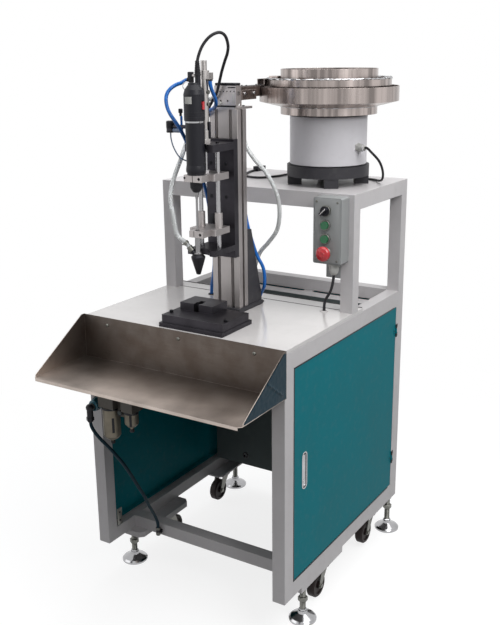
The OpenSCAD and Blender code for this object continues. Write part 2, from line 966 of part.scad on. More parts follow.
module torque_ring() {
  z0 = nose_z + 2;
  z1 = clamp_hi - 0.4;
  color(black)
    translate([0, bit_y, 0])
      rotate_extrude()
        polygon([[nose_r + run_fit, z0], [nose_r + 2, z0], [15.5, z0 + 8], [15.5, z1],
          [nose_r + run_fit, z1]]);
}

module driver_bit() {
  z1 = nose_z + 22;
  z0 = clamp_lo - 29;
  color(zinc)
    translate([0, bit_y, 0])
      rotate_extrude()
        polygon([[0, z0], [bit_r - 1.2, z0], [bit_r, z0 + 4], [bit_r, nose_z - 20], [5, nose_z - 8],
          [6.5, nose_z - 7], [6.5, nose_z - 1], [4, nose_z - 0.6], [4, z1], [0, z1]]);
}

module nozzle_clamp() {
  carriage(clamp_lo, clamp_lo_t, 7.02, bush_rise, jaw_w - 12);
}

module screw_nozzle() {
  bore = bit_r + 1.6;
  color(black)
    difference() {
      union() {
        translate([0, bit_y, 0])
          rotate_extrude()
            polygon([[0, nozzle_tip], [5.8, nozzle_tip], [nozzle_r, nozzle_top - 10],
              [nozzle_r, nozzle_top - 6], [13, nozzle_top], [7, nozzle_top],
              [7, clamp_lo + clamp_lo_t], [0, clamp_lo + clamp_lo_t]]);
        aimed(port_at, port_dir, 6.8, port_len);
      }
      translate([0, bit_y, nozzle_tip - 1])
        cylinder(r = bore, h = clamp_lo + clamp_lo_t - nozzle_tip + 2);
      aimed(port_at, port_dir, 4.6, port_len + 1);
      block([-0.8, bit_y - nozzle_r, nozzle_tip - 1], [0.8, bit_y + nozzle_r, nozzle_tip + 22]);
    }
}

module escapement() {
  x0 = esc_x - esc_w / 2;
  x1 = esc_x + esc_w / 2;
  color(alu)
    difference() {
      union() {
        block([x0, col_y, col_z1], [x1, esc_plate, esc_z0]);
        difference() {
          block([x0, esc_y0, esc_z0 - 1], [x1, esc_y1, esc_z1]);
          translate([x1 - 28, 0, 0])
            rotate([90, 0, 90])
              linear_extrude(30)
                polygon([[esc_y0 + 3, esc_z0], [esc_y1 + 1, esc_z0], [esc_y1 + 1, esc_z0 + 15]]);
        }
        translate([x0 + 1, esc_y0 + 13, slot_z - 16])
          rotate([0, -90, 0])
            cylinder(r = 8, h = 12);
      }
      block([x0 - 1, esc_y0 + 7, slot_z - 5], [x1 + 1, esc_y0 + 17, slot_z + 5]);
      block([-4, esc_y0 + 11, slot_z + 4], [4, esc_y1 + 1, esc_z1 + 1]);
      for (x = [esc_x - 14, esc_x + 8])
        translate([x, esc_y0 - 1, slot_z - 20])
          rotate([-90, 0, 0])
            cylinder(r = 3, h = 7);
    }
}

module escapement_shuttle() {
  x0 = esc_x - esc_w / 2;
  fit = 0.1;
  color(zinc)
    difference() {
      block([x0 - 14, esc_y0 + 7 + fit, slot_z - 5 + fit],
        [x0 + esc_w + 2, esc_y0 + 17 - fit, slot_z + 5 - fit]);
      translate([0, esc_y0 + 12, slot_z - 6])
        cylinder(r = 3, h = 12);
    }
}

module feed_track() {
  y1 = bowl_y - chute_len - 2;
  post = esc_plate - 7;
  color(steel)
    difference() {
      union() {
        block([-11, esc_y1, ledge_z - 26], [11, y1, ledge_z + 2]);
        block([-13, esc_plate - 10, ledge_z - 33], [13, esc_plate + 64, ledge_z - 7]);
        translate([6, post, esc_z0])
          cylinder(r = 2.5, h = ledge_z - 32 - esc_z0);
      }
      block([-2.6, esc_y1 - 1, ledge_z - 14], [2.6, y1 + 1, ledge_z + 3]);
    }
}

module feeder_base() {
  color(black)
    translate([bowl_x, bowl_y, 0])
      union() {
        translate([0, 0, foot_z])
          cylinder(r = drum_r + 8, h = drum_z0 - foot_z, $fn = 96);
        for (a = [-58:90:212])
          rotate(a)
            translate([drum_r - 34, -20, shelf_h])
              cube([40, 40, foot_z - shelf_h + 1]);
      }
}

module feeder_drum() {
  color(table_white)
    translate([bowl_x, bowl_y, 0])
      union() {
        rotate_extrude($fn = 96)
          polygon([[0, drum_z0], [55, drum_z0], [55, drum_z1 - 8], [drum_r - 6, drum_z1 - 8],
            [drum_r - 6, drum_z0], [drum_r, drum_z0], [drum_r, drum_z1], [0, drum_z1]]);
        rotate(gland_angle)
          translate([drum_r - 2, 0, gland_z])
            rotate([0, 90, 0])
              cylinder(r = 9, h = 26);
      }
}

module bowl() {
  r1 = bowl_r;
  r2 = bowl_r + wall_t;
  seam = r2 + weld;
  z0 = disc_z1;
  lip_r = pan_r - 22;
  color(steel)
    translate([bowl_x, bowl_y, 0]) {
      difference() {
        rotate_extrude($fn = 120)
          polygon([[0, disc_z0], [r2, disc_z0], [r2, bowl_top], [r1, bowl_top], [r1, z0 + 4],
            [0, z0 + 14]]);
        for (a = [-90, 60])
          rotate(a)
            block([r1 - 3, -22, a < 0 ? ledge_z + ledge_t : z0 + 13],
              [r2 + 2, 22, a < 0 ? ledge_z + 24 : z0 + 38]);
      }
      difference() {
        rotate_extrude($fn = 120)
          polygon([[seam, z0 + 9], [pan_r, z0 + 24], [pan_r, z0 + 65], [pan_r - wall_t, z0 + 65],
            [pan_r - wall_t, z0 + 26], [seam, z0 + 12]]);
        block([chute_x - track_room, -pan_r, ledge_z - 29], [chute_x + track_room, -chute_len, ledge_z + 5]);
      }
      difference() {
        union() {
          rotate_extrude($fn = 120)
            polygon([[seam, ledge_z], [lip_r, ledge_z], [lip_r, ledge_z + 20],
              [lip_r - 2, ledge_z + 20], [lip_r - 2, ledge_z + ledge_t], [seam, ledge_z + ledge_t]]);
          difference() {
            block([chute_x - 12, -chute_len, ledge_z], [chute_x + 12, 0, ledge_z + 20]);
            block([chute_x - 10, -chute_len - 1, ledge_z + ledge_t], [chute_x + 10, 1, ledge_z + 21]);
          }
          block([chute_x - 16, -50, ledge_z + 1], [chute_x + 13, -12, ledge_z + 26]);
        }
        block([chute_x - 10, -120, ledge_z + ledge_t], [chute_x + 10, -2, ledge_z + 18]);
      }
      ramp([[r1 - track_w, 0], [r1 - track_w, 3], [r1 - 0.4, 2], [r1 - 0.4, -1]],
        -90 - 360 * track_turns, -90, z0 + 15, ledge_z, 60);
    }
}

module control_box() {
  color(frame_grey)
    difference() {
      union() {
        translate([box_x0, box_y1, box_z0])
          rotate([90, 0, 0])
            linear_extrude(panel_d)
              rounded(panel_w, panel_h, 5);
        translate([box_x0 + 3, box_y0 + 0.5, box_z0 + 3])
          rotate([90, 0, 0])
            linear_extrude(face_t + 0.5)
              rounded(panel_w - 6, panel_h - 6, 4);
        for (z = btn_z)
          translate([btn_x, face_y + 0.5, z])
            rotate([90, 0, 0])
              cylinder(r = btn_r + 3, h = bezel_h);
        translate([cable_in[0], cable_in[1], box_z0 - 13])
          cylinder(r = 8, h = 14);
        block([box_x0 - 8, box_y1 - 3, box_z0 + 4], [box_x0 + 6, box_y1, box_z0 + 36]);
      }
      for (i = [1, 2])
        translate([btn_x, face_y + 0.5, btn_z[i]])
          rotate([90, 0, 0])
            cylinder(r = btn_r + 0.3, h = bezel_h + 1);
      for (z = btn_z)
        translate([btn_x, face_y + 16, z])
          rotate([90, 0, 0])
            cylinder(r = 6 + run_fit, h = 30);
    }
}

module button_at(i) {
  translate([btn_x, face_y, btn_z[i]])
    rotate([90, 0, 0])
      children();
}

module start_button(i) {
  color(green)
    button_at(i) {
      translate([0, 0, btn_travel + 0.6])
        cylinder(r = btn_r, h = 8);
      translate([0, 0, -10])
        cylinder(r = 6, h = 15);
    }
}

module start_button_upper() { start_button(1); }
module start_button_lower() { start_button(2); }

module stop_button() {
  color(red)
    button_at(3) {
      rotate_extrude()
        polygon([[0, bezel_h + 4], [15, bezel_h + 4], [20.5, bezel_h + 7], [20.5, bezel_h + 13],
          [17, bezel_h + 17], [9, bezel_h + 19], [0, bezel_h + 19]]);
      translate([0, 0, -10])
        cylinder(r = 6, h = bezel_h + 15);
    }
}

module selector_knob() {
  color(black)
    button_at(0)
      union() {
        translate([0, 0, bezel_h])
          cylinder(r = btn_r + 2, h = 5);
        translate([0, 0, -10])
          cylinder(r = 6, h = bezel_h + 12);
        rotate(-45)
          translate([-4, -btn_r - 1, bezel_h + 4])
            cube([8, 2 * btn_r + 2, 14]);
      }
}

module air_unit() {
  color(black)
    union() {
      block([-xo + 5, yf - 3, air_z + 4], [head_b + 20, yf, air_z + 44]);
      block([head_a - 27, yf - 53, air_z], [head_a + 27, yf - 2.5, knob_z]);
      block([head_b - 20, yf - 50, air_z], [head_b + 20, yf - 2.5, air_z + 46]);
      block([head_a + 26, yf - 32, air_z - 24], [head_b - 21, yf - 2.5, air_z + 30]);
      translate([head_a + 20, air_y, air_z + 34])
        rotate([0, 90, 0])
          cylinder(r = 9, h = head_b - head_a - 30);
      block([valve_x - 20, yf - 24, valve_z - 15], [head_a - 26, yf - 2.5, valve_z + 15]);
      translate([valve_x, yf - 23, valve_z])
        rotate([90, 0, 0])
          cylinder(r = 9, h = yf - 23 - valve_y);
      translate([valve_x, valve_y, valve_z])
        sphere(r = 10.5);
      translate([valve_x, valve_y, valve_z - 36])
        cylinder(r = 8.5, h = 36);
      translate([head_a + 40, yf - 31, air_z - 10])
        rotate([90, 0, 0])
          cylinder(r = 7, h = 10);
      translate([head_a, air_y, knob_z - 1])
        cylinder(r = 12, h = 9);
    }
}

module air_bowl(x, z0, z1, r) {
  translate([x, air_y, 0])
    rotate_extrude()
      polygon([[0, z0], [5, z0], [5, z0 + 8], [r - 8, z0 + 8], [r, z0 + 18], [r, z1], [0, z1]]);
}

module air_bowls() {
  color(smoke) {
    air_bowl(head_a, air_z - 105, air_z, 25);
    air_bowl(head_b, air_z - 54, air_z, 20);
  }
}

module air_valve_lever() {
  len = 27;
  hole = 9 + run_fit;
  color(teal)
    translate([valve_x, yf - 24.4, valve_z])
      rotate([90, 0, 0])
        union() {
          rotate_extrude()
            polygon([[hole, 0], [14, 0], [16, 2], [16, len - 2], [14, len], [hole, len]]);
          block([-3, 14, 4], [3, 21, len - 4]);
        }
}

module regulator_knob() {
  color(black)
    translate([head_a, air_y, knob_z + 0.4])
      difference() {
        rotate_extrude()
          polygon([[0, 0], [20, 0], [20, 28], [17, 32], [0, 32]]);
        translate([0, 0, -1])
          cylinder(r = 12 + run_fit, h = 8.8);
      }
}

module fixture() {
  top = table_h + 55;
  mid = table_h + 34;
  color(dark)
    difference() {
      union() {
        block([-75, yf + 15, table_h], [130, yf + 160, table_h + 12]);
        block([-68, yf + 20, table_h + 11], [128, yf + 148, mid]);
        block([-nest_w / 2, yf + 85, mid - 1], [nest_w / 2, yf + 156, top]);
      }
      block([-nest_slot / 2, yf + 84, table_h + 22], [nest_slot / 2, bit_y + 20, top + 1]);
      translate([0, bit_y, table_h + 10])
        cylinder(r = nest_slot / 2 + 3, h = 56);
      for (x = [-58, 118])
        translate([x, yf + 50, mid - 7])
          cylinder(r = 5.5, h = 8);
    }
}

head = [0, col_y, table_h];
cord_gap = 0.1;
driver_cable_route = [[relief[0], relief[1], cable_z + cord_gap], [relief[0], relief[1], cable_z + 12],
  head + [8, -120.5, 700], head + [14, -112.5, 723], head + [25, -101.5, 743], head + [36, -89.5, 754],
  head + [46, -76.5, 757.5], head + [51.5, -62.5, 750], head + [51, -48.5, 727], head + [43, -39.5, 708],
  head + [28, -29.5, 688], head + [9, -17.5, 659], head + [-5, -9, 631], head + [-16, -6, 605],
  head + [-34, -2, 582], head + [-52, 8, 560], head + [-55, 28, 530], head + [-52, 46, 496],
  head + [-42, 54, 462], head + [-32, 54.5, 412], head + [-24, 57.5, 356], head + [-22, 62, 300],
  head + [-20, 82, 205], head + [-12, 100, 110], [-10, slot_y, table_h + 20], [-10, slot_y, zt]];
port_end = port_at + port_len * unit(port_dir);
hose_start = [esc_x - esc_w / 2 - 11, esc_y0 + 13, slot_z - 16];
screw_hose_route = [hose_start - [cord_gap, 0, 0], hose_start + [-13, 0, 0], hose_start + [-27, -6, -10],
  hose_start + [-43, -25, -42],
  head + [-92, -38, 485], head + [-80, -88, 436], head + [-76, -122, 398], head + [-76, -142, 362],
  head + [-72, -152, 330], head + [-62, -156, 296], port_end + 45 * unit(port_dir) + [-7, -2, 0],
  port_end + 20 * unit(port_dir), port_end + cord_gap * unit(port_dir)];
vent_hose_route = [[22, esc_plate - 20, col_z1], [22, esc_plate - 20, col_z1 - 14], head + [23, 65, 530],
  head + [26, 66, 470],
  head + [52, 70, 428], head + [88, 78, 388], head + [114, 90, 330], head + [118, 98, 278],
  head + [104, 108, 226], head + [72, 116, 186], head + [38, 122, 150], head + [14, 128, 90],
  [8, slot_y, table_h + 20], [8, slot_y, zt]];
rear_port = [14, cyl_y, cyl_z0 + 174];
blue_loop_route = [[-elbow_out - cord_gap, cyl_y, elbow_z], [-elbow_out - 8, cyl_y, elbow_z],
  head + [-65, -96, 634], head + [-76, -105, 629], head + [-85, -117, 620], head + [-90, -126, 608],
  head + [-90, -132, 594], head + [-85, -135, 574], head + [-75, -136, 556], head + [-64, -131, 538],
  head + [-56, -122, 519], head + [-55, -102, 492], head + [-58, -77, 459], head + [-60, -34, 400],
  head + [-62, 6, 320], head + [-64, 36, 150], head + [-84, 62, 98],
  [loop_hole[0] + 5, loop_hole[1] - 5, table_h + 32], [loop_hole[0], loop_hole[1], table_h + 6],
  [loop_hole[0], loop_hole[1], zt]];
blue_supply_route = [[19, cyl_y, cyl_z0 + 163 - cord_gap], [19, cyl_y, cyl_z0 + 152],
  head + [19, -81, 619], head + [17, -68, 603], head + [13, -54, 589], head + [4, -40, 576],
  head + [-14, -25, 566], head + [-38, -15, 556], head + [-57, 2, 538],
  head + [-58, 36, 480], head + [-40, 66, 414], head + [-2, 84, 330], head + [24, 82, 230],
  head + [42, 96, 152], head + [61, 104, 108], head + [60, 110, 58], [34, slot_y + 4, table_h + 28],
  [28, slot_y, table_h + 6], [28, slot_y, zt]];
signal_route = [[-column_w / 2 - 56, flange_y + 16, flange_hi + 46],
  [-column_w / 2 - 56, flange_y + 16, flange_hi + 32], head + [-92, -104, 468],
  head + [-74, -100, 440], head + [-62, -84, 430], head + [-66, -56, 422],
  head + [-68, -34, 417], head + [-64, -17, 412],
  [-column_w / 2 - 10, col_y - 10, table_h + 410], [-column_w / 2 - cord_gap, col_y - 10, table_h + 410]];
control_route = [[cable_in[0], cable_in[1], box_z0 - 13], [cable_in[0], cable_in[1], box_z0 - 34],
  [cable_in[0] - 12, cable_in[1] + 7, box_z0 - 80], [panel_hole[0] + 3, panel_hole[1] - 1, table_h + 30],
  [panel_hole[0], panel_hole[1], table_h + 6],
  [panel_hole[0], panel_hole[1], zt]];
shelf_at = [bowl_x, bowl_y, shelf_h];
gland_out = [cos(gland_angle), sin(gland_angle), 0];
feeder_route = [[bowl_x, bowl_y, gland_z] + (drum_r + 24) * gland_out,
  [bowl_x, bowl_y, gland_z] + (drum_r + 34) * gland_out,
  [bowl_x, bowl_y, gland_z - 9] + (drum_r + 48) * gland_out, shelf_at + [169, -14, 74],
  shelf_at + [167, 18, 40], shelf_at + [148, 54, 12], shelf_at + [100, 102, 4],
  shelf_at + [5, 141, 4], shelf_at + [-95, 146, 4], shelf_at + [-178, 108, 4],
  shelf_at + [-196, 34, 4], shelf_at + [-228, -16, 4], shelf_at + [-282, -4, 4],
  shelf_at + [-318, 60, 4], shelf_at + [-330, 112, 4], shelf_at + [-330, 130, 4]];
inlet_at = [valve_x, valve_y, valve_z - 36];
plug_at = [-xo + 138, yf + rail_set - 12, zf + 30];
inlet_route = [inlet_at, inlet_at + [0, 0, -10], inlet_at + [3, 0, -22], inlet_at + [11, 1, -35],
  inlet_at + [22, 3, -48], inlet_at + [36, 8, -64], inlet_at + [52, 17, -85],
  inlet_at + [63, 28, -107], inlet_at + [73, 41, -132], inlet_at + [80, 57, -163],
  inlet_at + [84, 76, -199], inlet_at + [88, 96, -238], plug_at + [5, -62, 133],
  plug_at + [3, -41, 92], plug_at + [1, -19, 56], plug_at + [0, -5, 28], plug_at + [0, 0, 10], plug_at];

module driver_cable() {
  color(black)
    cord(driver_cable_route, 4, 10);
}

module screw_hose() {
  color(clear)
    cord(screw_hose_route, 6, 10);
}

module vent_hose() {
  color(clear)
    cord(vent_hose_route, 6, 10);
}

module blue_loop_tube() {
  color(blue)
    cord(blue_loop_route, 5, 10);
}

module blue_supply_tube() {
  color(blue)
    cord(blue_supply_route, 5, 10);
}

module signal_tube() {
  color(clear)
    cord(signal_route, 1.8, 8);
}

module control_cable() {
  color(frame_grey)
    cord(control_route, 4, 10);
}

module feeder_cable() {
  color(black)
    cord(feeder_route, 3.5, 10);
}

module inlet_hose() {
  color(dark)
    cord(inlet_route, 5, 10);
}

module cord_plugs() {
  tail = feeder_route[len(feeder_route) - 1];
  color(black) {
    translate(plug_at - [0, 0, 26])
      cylinder(r = 6.5, h = 26);
    block(plug_at + [-8, 4, -20], plug_at + [8, 12 - weld, -10]);
    block(tail + [-9, 0, -3.8], tail + [9, 30, 12]);
    block(tail + [-7, 29, -3.8], tail + [7, 52, 10]);
  }
}

base_frame();
table_top();
tray();
fixed_panels();
partition();
cabinet_electrics();
door();
door_hinges();
door_lock();
door_lever();
levelling_feet();
caster_mounts();
caster_fork_fl();
caster_fork_fr();
caster_fork_rl();
caster_fork_rr();
caster_wheel_fl();
caster_wheel_fr();
caster_wheel_rl();
caster_wheel_rr();
bridge_frame();
column();
column_base();
slide_frame();
guide_rods();
lift_cylinder();
piston_rod();
driver_clamp();
driver_body();
driver_switch();
torque_ring();
driver_bit();
nozzle_clamp();
screw_nozzle();
escapement();
escapement_shuttle();
feed_track();
feeder_base();
feeder_drum();
bowl();
control_box();
start_button_upper();
start_button_lower();
stop_button();
selector_knob();
air_unit();
air_bowls();
air_valve_lever();
regulator_knob();
fixture();
driver_cable();
screw_hose();
vent_hose();
blue_loop_tube();
blue_supply_tube();
signal_tube();
control_cable();
feeder_cable();
inlet_hose();
cord_plugs();
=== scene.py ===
import json
import math

import bpy
from mathutils import Matrix, Vector


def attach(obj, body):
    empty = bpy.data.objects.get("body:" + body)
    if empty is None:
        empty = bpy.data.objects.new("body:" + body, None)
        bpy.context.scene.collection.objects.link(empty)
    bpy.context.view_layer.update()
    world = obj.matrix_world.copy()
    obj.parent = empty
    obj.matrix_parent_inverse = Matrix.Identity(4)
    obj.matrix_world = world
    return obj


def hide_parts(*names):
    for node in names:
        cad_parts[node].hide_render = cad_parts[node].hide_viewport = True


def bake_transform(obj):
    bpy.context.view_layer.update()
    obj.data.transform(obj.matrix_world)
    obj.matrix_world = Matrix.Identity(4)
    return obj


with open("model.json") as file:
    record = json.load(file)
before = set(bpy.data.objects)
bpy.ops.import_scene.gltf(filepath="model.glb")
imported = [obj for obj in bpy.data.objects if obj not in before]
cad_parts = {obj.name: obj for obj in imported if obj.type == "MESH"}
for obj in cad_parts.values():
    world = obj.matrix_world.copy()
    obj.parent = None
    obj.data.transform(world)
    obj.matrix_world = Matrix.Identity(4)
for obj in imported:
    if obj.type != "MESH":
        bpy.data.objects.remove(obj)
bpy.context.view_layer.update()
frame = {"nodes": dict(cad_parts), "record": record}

# Sizes that several sections use, in millimetres

MM = 0.001
FEEDER = (155, 273.5, 0)
TRAY_CREASE, TRAY_LIP = -285, -480

# Finishes


def srgb(red, green, blue):
    """A colour as it looks on the part, 0 to 255 a channel, in the shader's linear values."""
    channels = [c / 255 for c in (red, green, blue)]
    linear = [c / 12.92 if c <= 10 / 255 else ((c + 0.055) / 1.055) ** 2.4 for c in channels]
    return (*linear, 1.0)


def shade(colour, factor):
    """A colour made darker or lighter by a factor, and never over full."""
    return (*(min(1.0, c * factor) for c in colour[:3]), 1.0)


class Wire:
    """An output in a node tree. Arithmetic on it adds Math nodes; add() adds any other node."""

    def __init__(self, tree, socket=None):
        self.tree, self.socket = tree, socket

    def add(self, kind, sockets=None, out=0, **settings):
        """A new node of a kind, with its settings made and its sockets set or wired; gives its output."""
        node = self.tree.nodes.new("ShaderNode" + kind)
        for key, value in settings.items():
            if key == "stops":
                while len(node.color_ramp.elements) < len(value):
                    node.color_ramp.elements.new(1.0)
                for element, (position, level) in zip(node.color_ramp.elements, value):
                    element.position, element.color = position, (level, level, level, 1.0)
            else:
                setattr(node, key, value)
        for key, value in (sockets or {}).items():
            if isinstance(value, Wire):
                self.tree.links.new(value.socket, node.inputs[key])
            else:
                node.inputs[key].default_value = value
        return Wire(self.tree, node.outputs[out])

    def maths(self, operation, first, second):
        return self.add("Math", {0: first, 1: second}, operation=operation)

    def __add__(self, other):
        return self.maths("ADD", self, other)

    def __sub__(self, other):
        return self.maths("SUBTRACT", self, other)

    def __rsub__(self, other):
        return self.maths("SUBTRACT", other, self)

    def __mul__(self, other):
        return self.maths("MULTIPLY", self, other)

    def __or__(self, other):
        return self.maths("MAXIMUM", self, other)

    __radd__, __rmul__ = __add__, __mul__


class Finish(Wire):
    """A material: a Principled shader, its constants, and the wires that change over the surface."""

    def __init__(self, name, **constants):
        self.material = bpy.data.materials.new(name)
        self.material.use_nodes = True
        super().__init__(self.material.node_tree)
        self.shader = self.tree.nodes["Principled BSDF"]
        for key, value in constants.items():
            self.shader.inputs[key.replace("_", " ")].default_value = value
        self.place = self.add("TexCoord", out="Object")

    def feed(self, **wires):
        """Wires into the shader's sockets."""
        for key, wire in wires.items():
            self.tree.links.new(wire.socket, self.shader.inputs[key.replace("_", " ")])

    def noise(self, scale, detail, stretch=None):
        """Noise over the object's own coordinates, stretched or not."""
        place = self.add("Mapping", {"Vector": self.place, "Scale": stretch}) if stretch else self.place
        return self.add("TexNoise", {"Vector": place, "Scale": scale, "Detail": detail})

    def ramp(self, wire, *stops):
        """A wire's values spread between (position, level) stops."""
        return self.add("ValToRGB", {"Fac": wire}, stops=stops)

    def mix(self, factor, first, second):
        return self.add("Mix", {0: factor, 6: first, 7: second}, out=2, data_type="RGBA")

    def edges(self, radius):
        """The rounded normal at corners, and a mask that is white along them."""
        rounded = self.add("Bevel", {"Radius": radius}, samples=4)
        normal = self.add("NewGeometry", out="Normal")
        same = self.add("VectorMath", {0: rounded, 1: normal}, out="Value", operation="DOT_PRODUCT")
        return rounded, self.ramp(1 - same, (0.02, 0.0), (0.16, 1.0))

    def bump(self, height, depth, strength, normal=None):
        sockets = {"Height": height, "Distance": depth, "Strength": strength}
        if normal:
            sockets["Normal"] = normal
        self.feed(Normal=self.add("Bump", sockets))


DUST, TRAY_STAIN = srgb(150, 146, 140), srgb(82, 71, 64)


def powder_coat(name, colour, roughness, peel=0.3, edge_wear_and_highlight=0.35, sheen=0.3):
    """Sprayed paint: orange peel, slow changes of tone, broken patches of lighter paint on the corners that
    are partly worn paint and partly a painted highlight, and a little dust.
    """
    f = Finish(name, Specular_IOR_Level=sheen)
    tone = f.noise(5.0, 4.0)
    dust = f.ramp(f.noise(46.0, 6.0), (0.52, 0.0), (0.8, 1.0))
    rounded, corner = f.edges(0.0012)
    marks_and_painted_light = corner * f.ramp(f.noise(70.0, 3.0), (0.5, 0.0), (0.62, 1.0)) * edge_wear_and_highlight
    base = f.mix(f.ramp(tone, (0.3, 0.0), (0.7, 1.0)), shade(colour, 0.93), shade(colour, 1.05))
    base = f.mix(dust * 0.1, base, DUST)
    # Corners turn a lighter copy of the paint in broken patches: partly worn paint, partly a painted edge
    # highlight.
    f.feed(Base_Color=f.mix(marks_and_painted_light, base, shade(colour, 1.35)))
    f.feed(Roughness=roughness + 0.12 * (tone - 0.5) + 0.1 * dust)
    f.bump(f.noise(620.0, 2.0), 0.00012, peel, rounded)
    return f.material


def brushed_metal(name, colour, roughness, grain, strength=0.12, spread=0.3, marks_and_painted_light=None):
    """Bare metal with its grain along one direction, cloudy handling marks, a few scratches and a painted
    highlight along its corners.

    Given two places along Y, it is stained, and a painted highlight makes it brighter from the first place
    to the second.
    """
    f = Finish(name, Metallic=1.0)
    lines = f.noise(1.0, 3.0, stretch=grain)
    cloud = f.noise(9.0, 4.0)
    across = (grain[2] * 0.3, grain[0] * 2.0, grain[1] * 0.3)
    scratch = f.ramp(f.noise(1.0, 2.0, stretch=across), (0.66, 0.0), (0.7, 1.0))
    rounded, corner = f.edges(0.0008)
    base = f.mix(lines, shade(colour, 1 - spread), shade(colour, 1 + spread * 0.6))
    base = f.mix(f.ramp(cloud, (0.35, 0.0), (0.75, 0.5)), base, shade(colour, 0.74))
    if marks_and_painted_light:
        stain = f.ramp(f.noise(19.0, 6.0), (0.42, 0.0), (0.66, 1.0))
        base = f.mix(stain * 0.5, base, TRAY_STAIN)
        # Painted light: from the first place along Y to the second, the colour grows far lighter. This is a
        # painted highlight towards the tray's lip.
        along = f.add("SeparateXYZ", {0: f.place}, out="Y")
        reach = {0: along, 1: marks_and_painted_light[0], 2: marks_and_painted_light[1]}
        painted_light_ramp = f.add("MapRange", reach, interpolation_type="SMOOTHSTEP")
        base = f.mix(painted_light_ramp * (0.15 + cloud), base, shade(colour, 4.4))
    # Painted highlight: the corners are made lighter.
    f.feed(Base_Color=f.mix(corner * 0.5, base, shade(colour, 1.3)))
    f.feed(Roughness=roughness + 0.14 * (cloud - 0.5) + 0.1 * lines + 0.06 * scratch)
    f.bump(lines + 0.4 * scratch, 0.00006, strength, rounded)
    return f.material


def smooth_metal(name, colour, roughness, cloudiness=0.25):
    """Plated, ground or anodised metal: even, with faint clouds, fine pits and a painted highlight along its
    corners.
    """
    f = Finish(name, Metallic=1.0)
    cloud = f.noise(24.0, 5.0)
    rounded, corner = f.edges(0.0006)
    base = f.mix(f.ramp(cloud, (0.3, 0.0), (0.75, 1.0)), colour, shade(colour, 1 - cloudiness))
    # Painted highlight: the corners are made lighter.
    f.feed(Base_Color=f.mix(corner * 0.4, base, shade(colour, 1.25)))
    f.feed(Roughness=roughness + 0.12 * (cloud - 0.4))
    f.bump(f.noise(1400.0, 1.0), 0.00003, 0.15, rounded)
    return f.material


def moulded(name, colour, roughness, grain=0.2, coat=0.0, sheen=0.45):
    """Moulded plastic or rubber with a fine spark grain and a painted highlight along its corners."""
    f = Finish(name, Specular_IOR_Level=sheen, Coat_Weight=coat, Coat_Roughness=0.12)
    tone = f.noise(38.0, 4.0)
    rounded, corner = f.edges(0.0007)
    base = f.mix(tone, shade(colour, 0.86), shade(colour, 1.12))
    # Painted highlight: the corners are made lighter.
    f.feed(Base_Color=f.mix(corner * 0.25, base, shade(colour, 1.5)))
    f.feed(Roughness=roughness + 0.16 * (tone - 0.5))
    f.bump(f.noise(1700.0, 1.0), 0.00005, grain, rounded)
    return f.material


def see_through(name, colour, roughness, clear):
    """Clear or smoked plastic with a milky wall."""
    f = Finish(name, Transmission_Weight=clear, IOR=1.42)
    haze = f.noise(60.0, 3.0)
    f.feed(Base_Color=f.mix(haze, shade(colour, 0.9), shade(colour, 1.06)))
    f.feed(Roughness=roughness + 0.12 * haze)
    f.bump(f.noise(240.0, 2.0), 0.00005, 0.12)
    return f.material


def painted_reflection_steel(name, colour, roughness, axis):
    """Rolled sheet on a turned wall: painted reflections as soft upright light and dark bands round an axis,
    clouds, fine grain and a painted highlight along its corners.
    """
    f = Finish(name, Metallic=1.0)
    around = f.add("Mapping", {"Vector": f.place, "Location": (-axis[0], -axis[1], 0.0)})
    flat = f.add("VectorMath", {0: around, 1: (1.0, 1.0, 0.02)}, operation="MULTIPLY")
    turn = f.add("VectorMath", {0: flat}, operation="NORMALIZE")
    bands = f.add("TexNoise", {"Vector": turn, "Scale": 7.0, "Detail": 3.0})
    lines = f.add("TexNoise", {"Vector": turn, "Scale": 90.0, "Detail": 2.0})
    cloud = f.noise(14.0, 4.0)
    rounded, corner = f.edges(0.0008)
    # Painted reflection: noise round the axis lays light and dark upright bands into the colour.
    base = f.mix(f.ramp(bands, (0.36, 0.0), (0.64, 1.0)), shade(colour, 0.5), shade(colour, 1.36))
    base = f.mix(lines * 0.35, base, shade(colour, 0.7))
    # Painted highlight: the corners are made lighter.
    f.feed(Base_Color=f.mix(corner * 0.6, base, shade(colour, 1.5)))
    f.feed(Roughness=roughness + 0.12 * (cloud - 0.5) + 0.08 * lines)
    f.bump(lines + 0.3 * cloud, 0.00005, 0.12, rounded)
    return f.material


LENGTHWAYS, UPRIGHT = (14.0, 900.0, 900.0), (500.0, 500.0, 12.0)
# The stretch along Y of the tray's painted highlight, from the crease to the lip.
LIP_PAINTED_SHINE = (TRAY_CREASE * MM, TRAY_LIP * MM)
FEEDER_AXIS = (FEEDER[0] * MM, FEEDER[1] * MM)

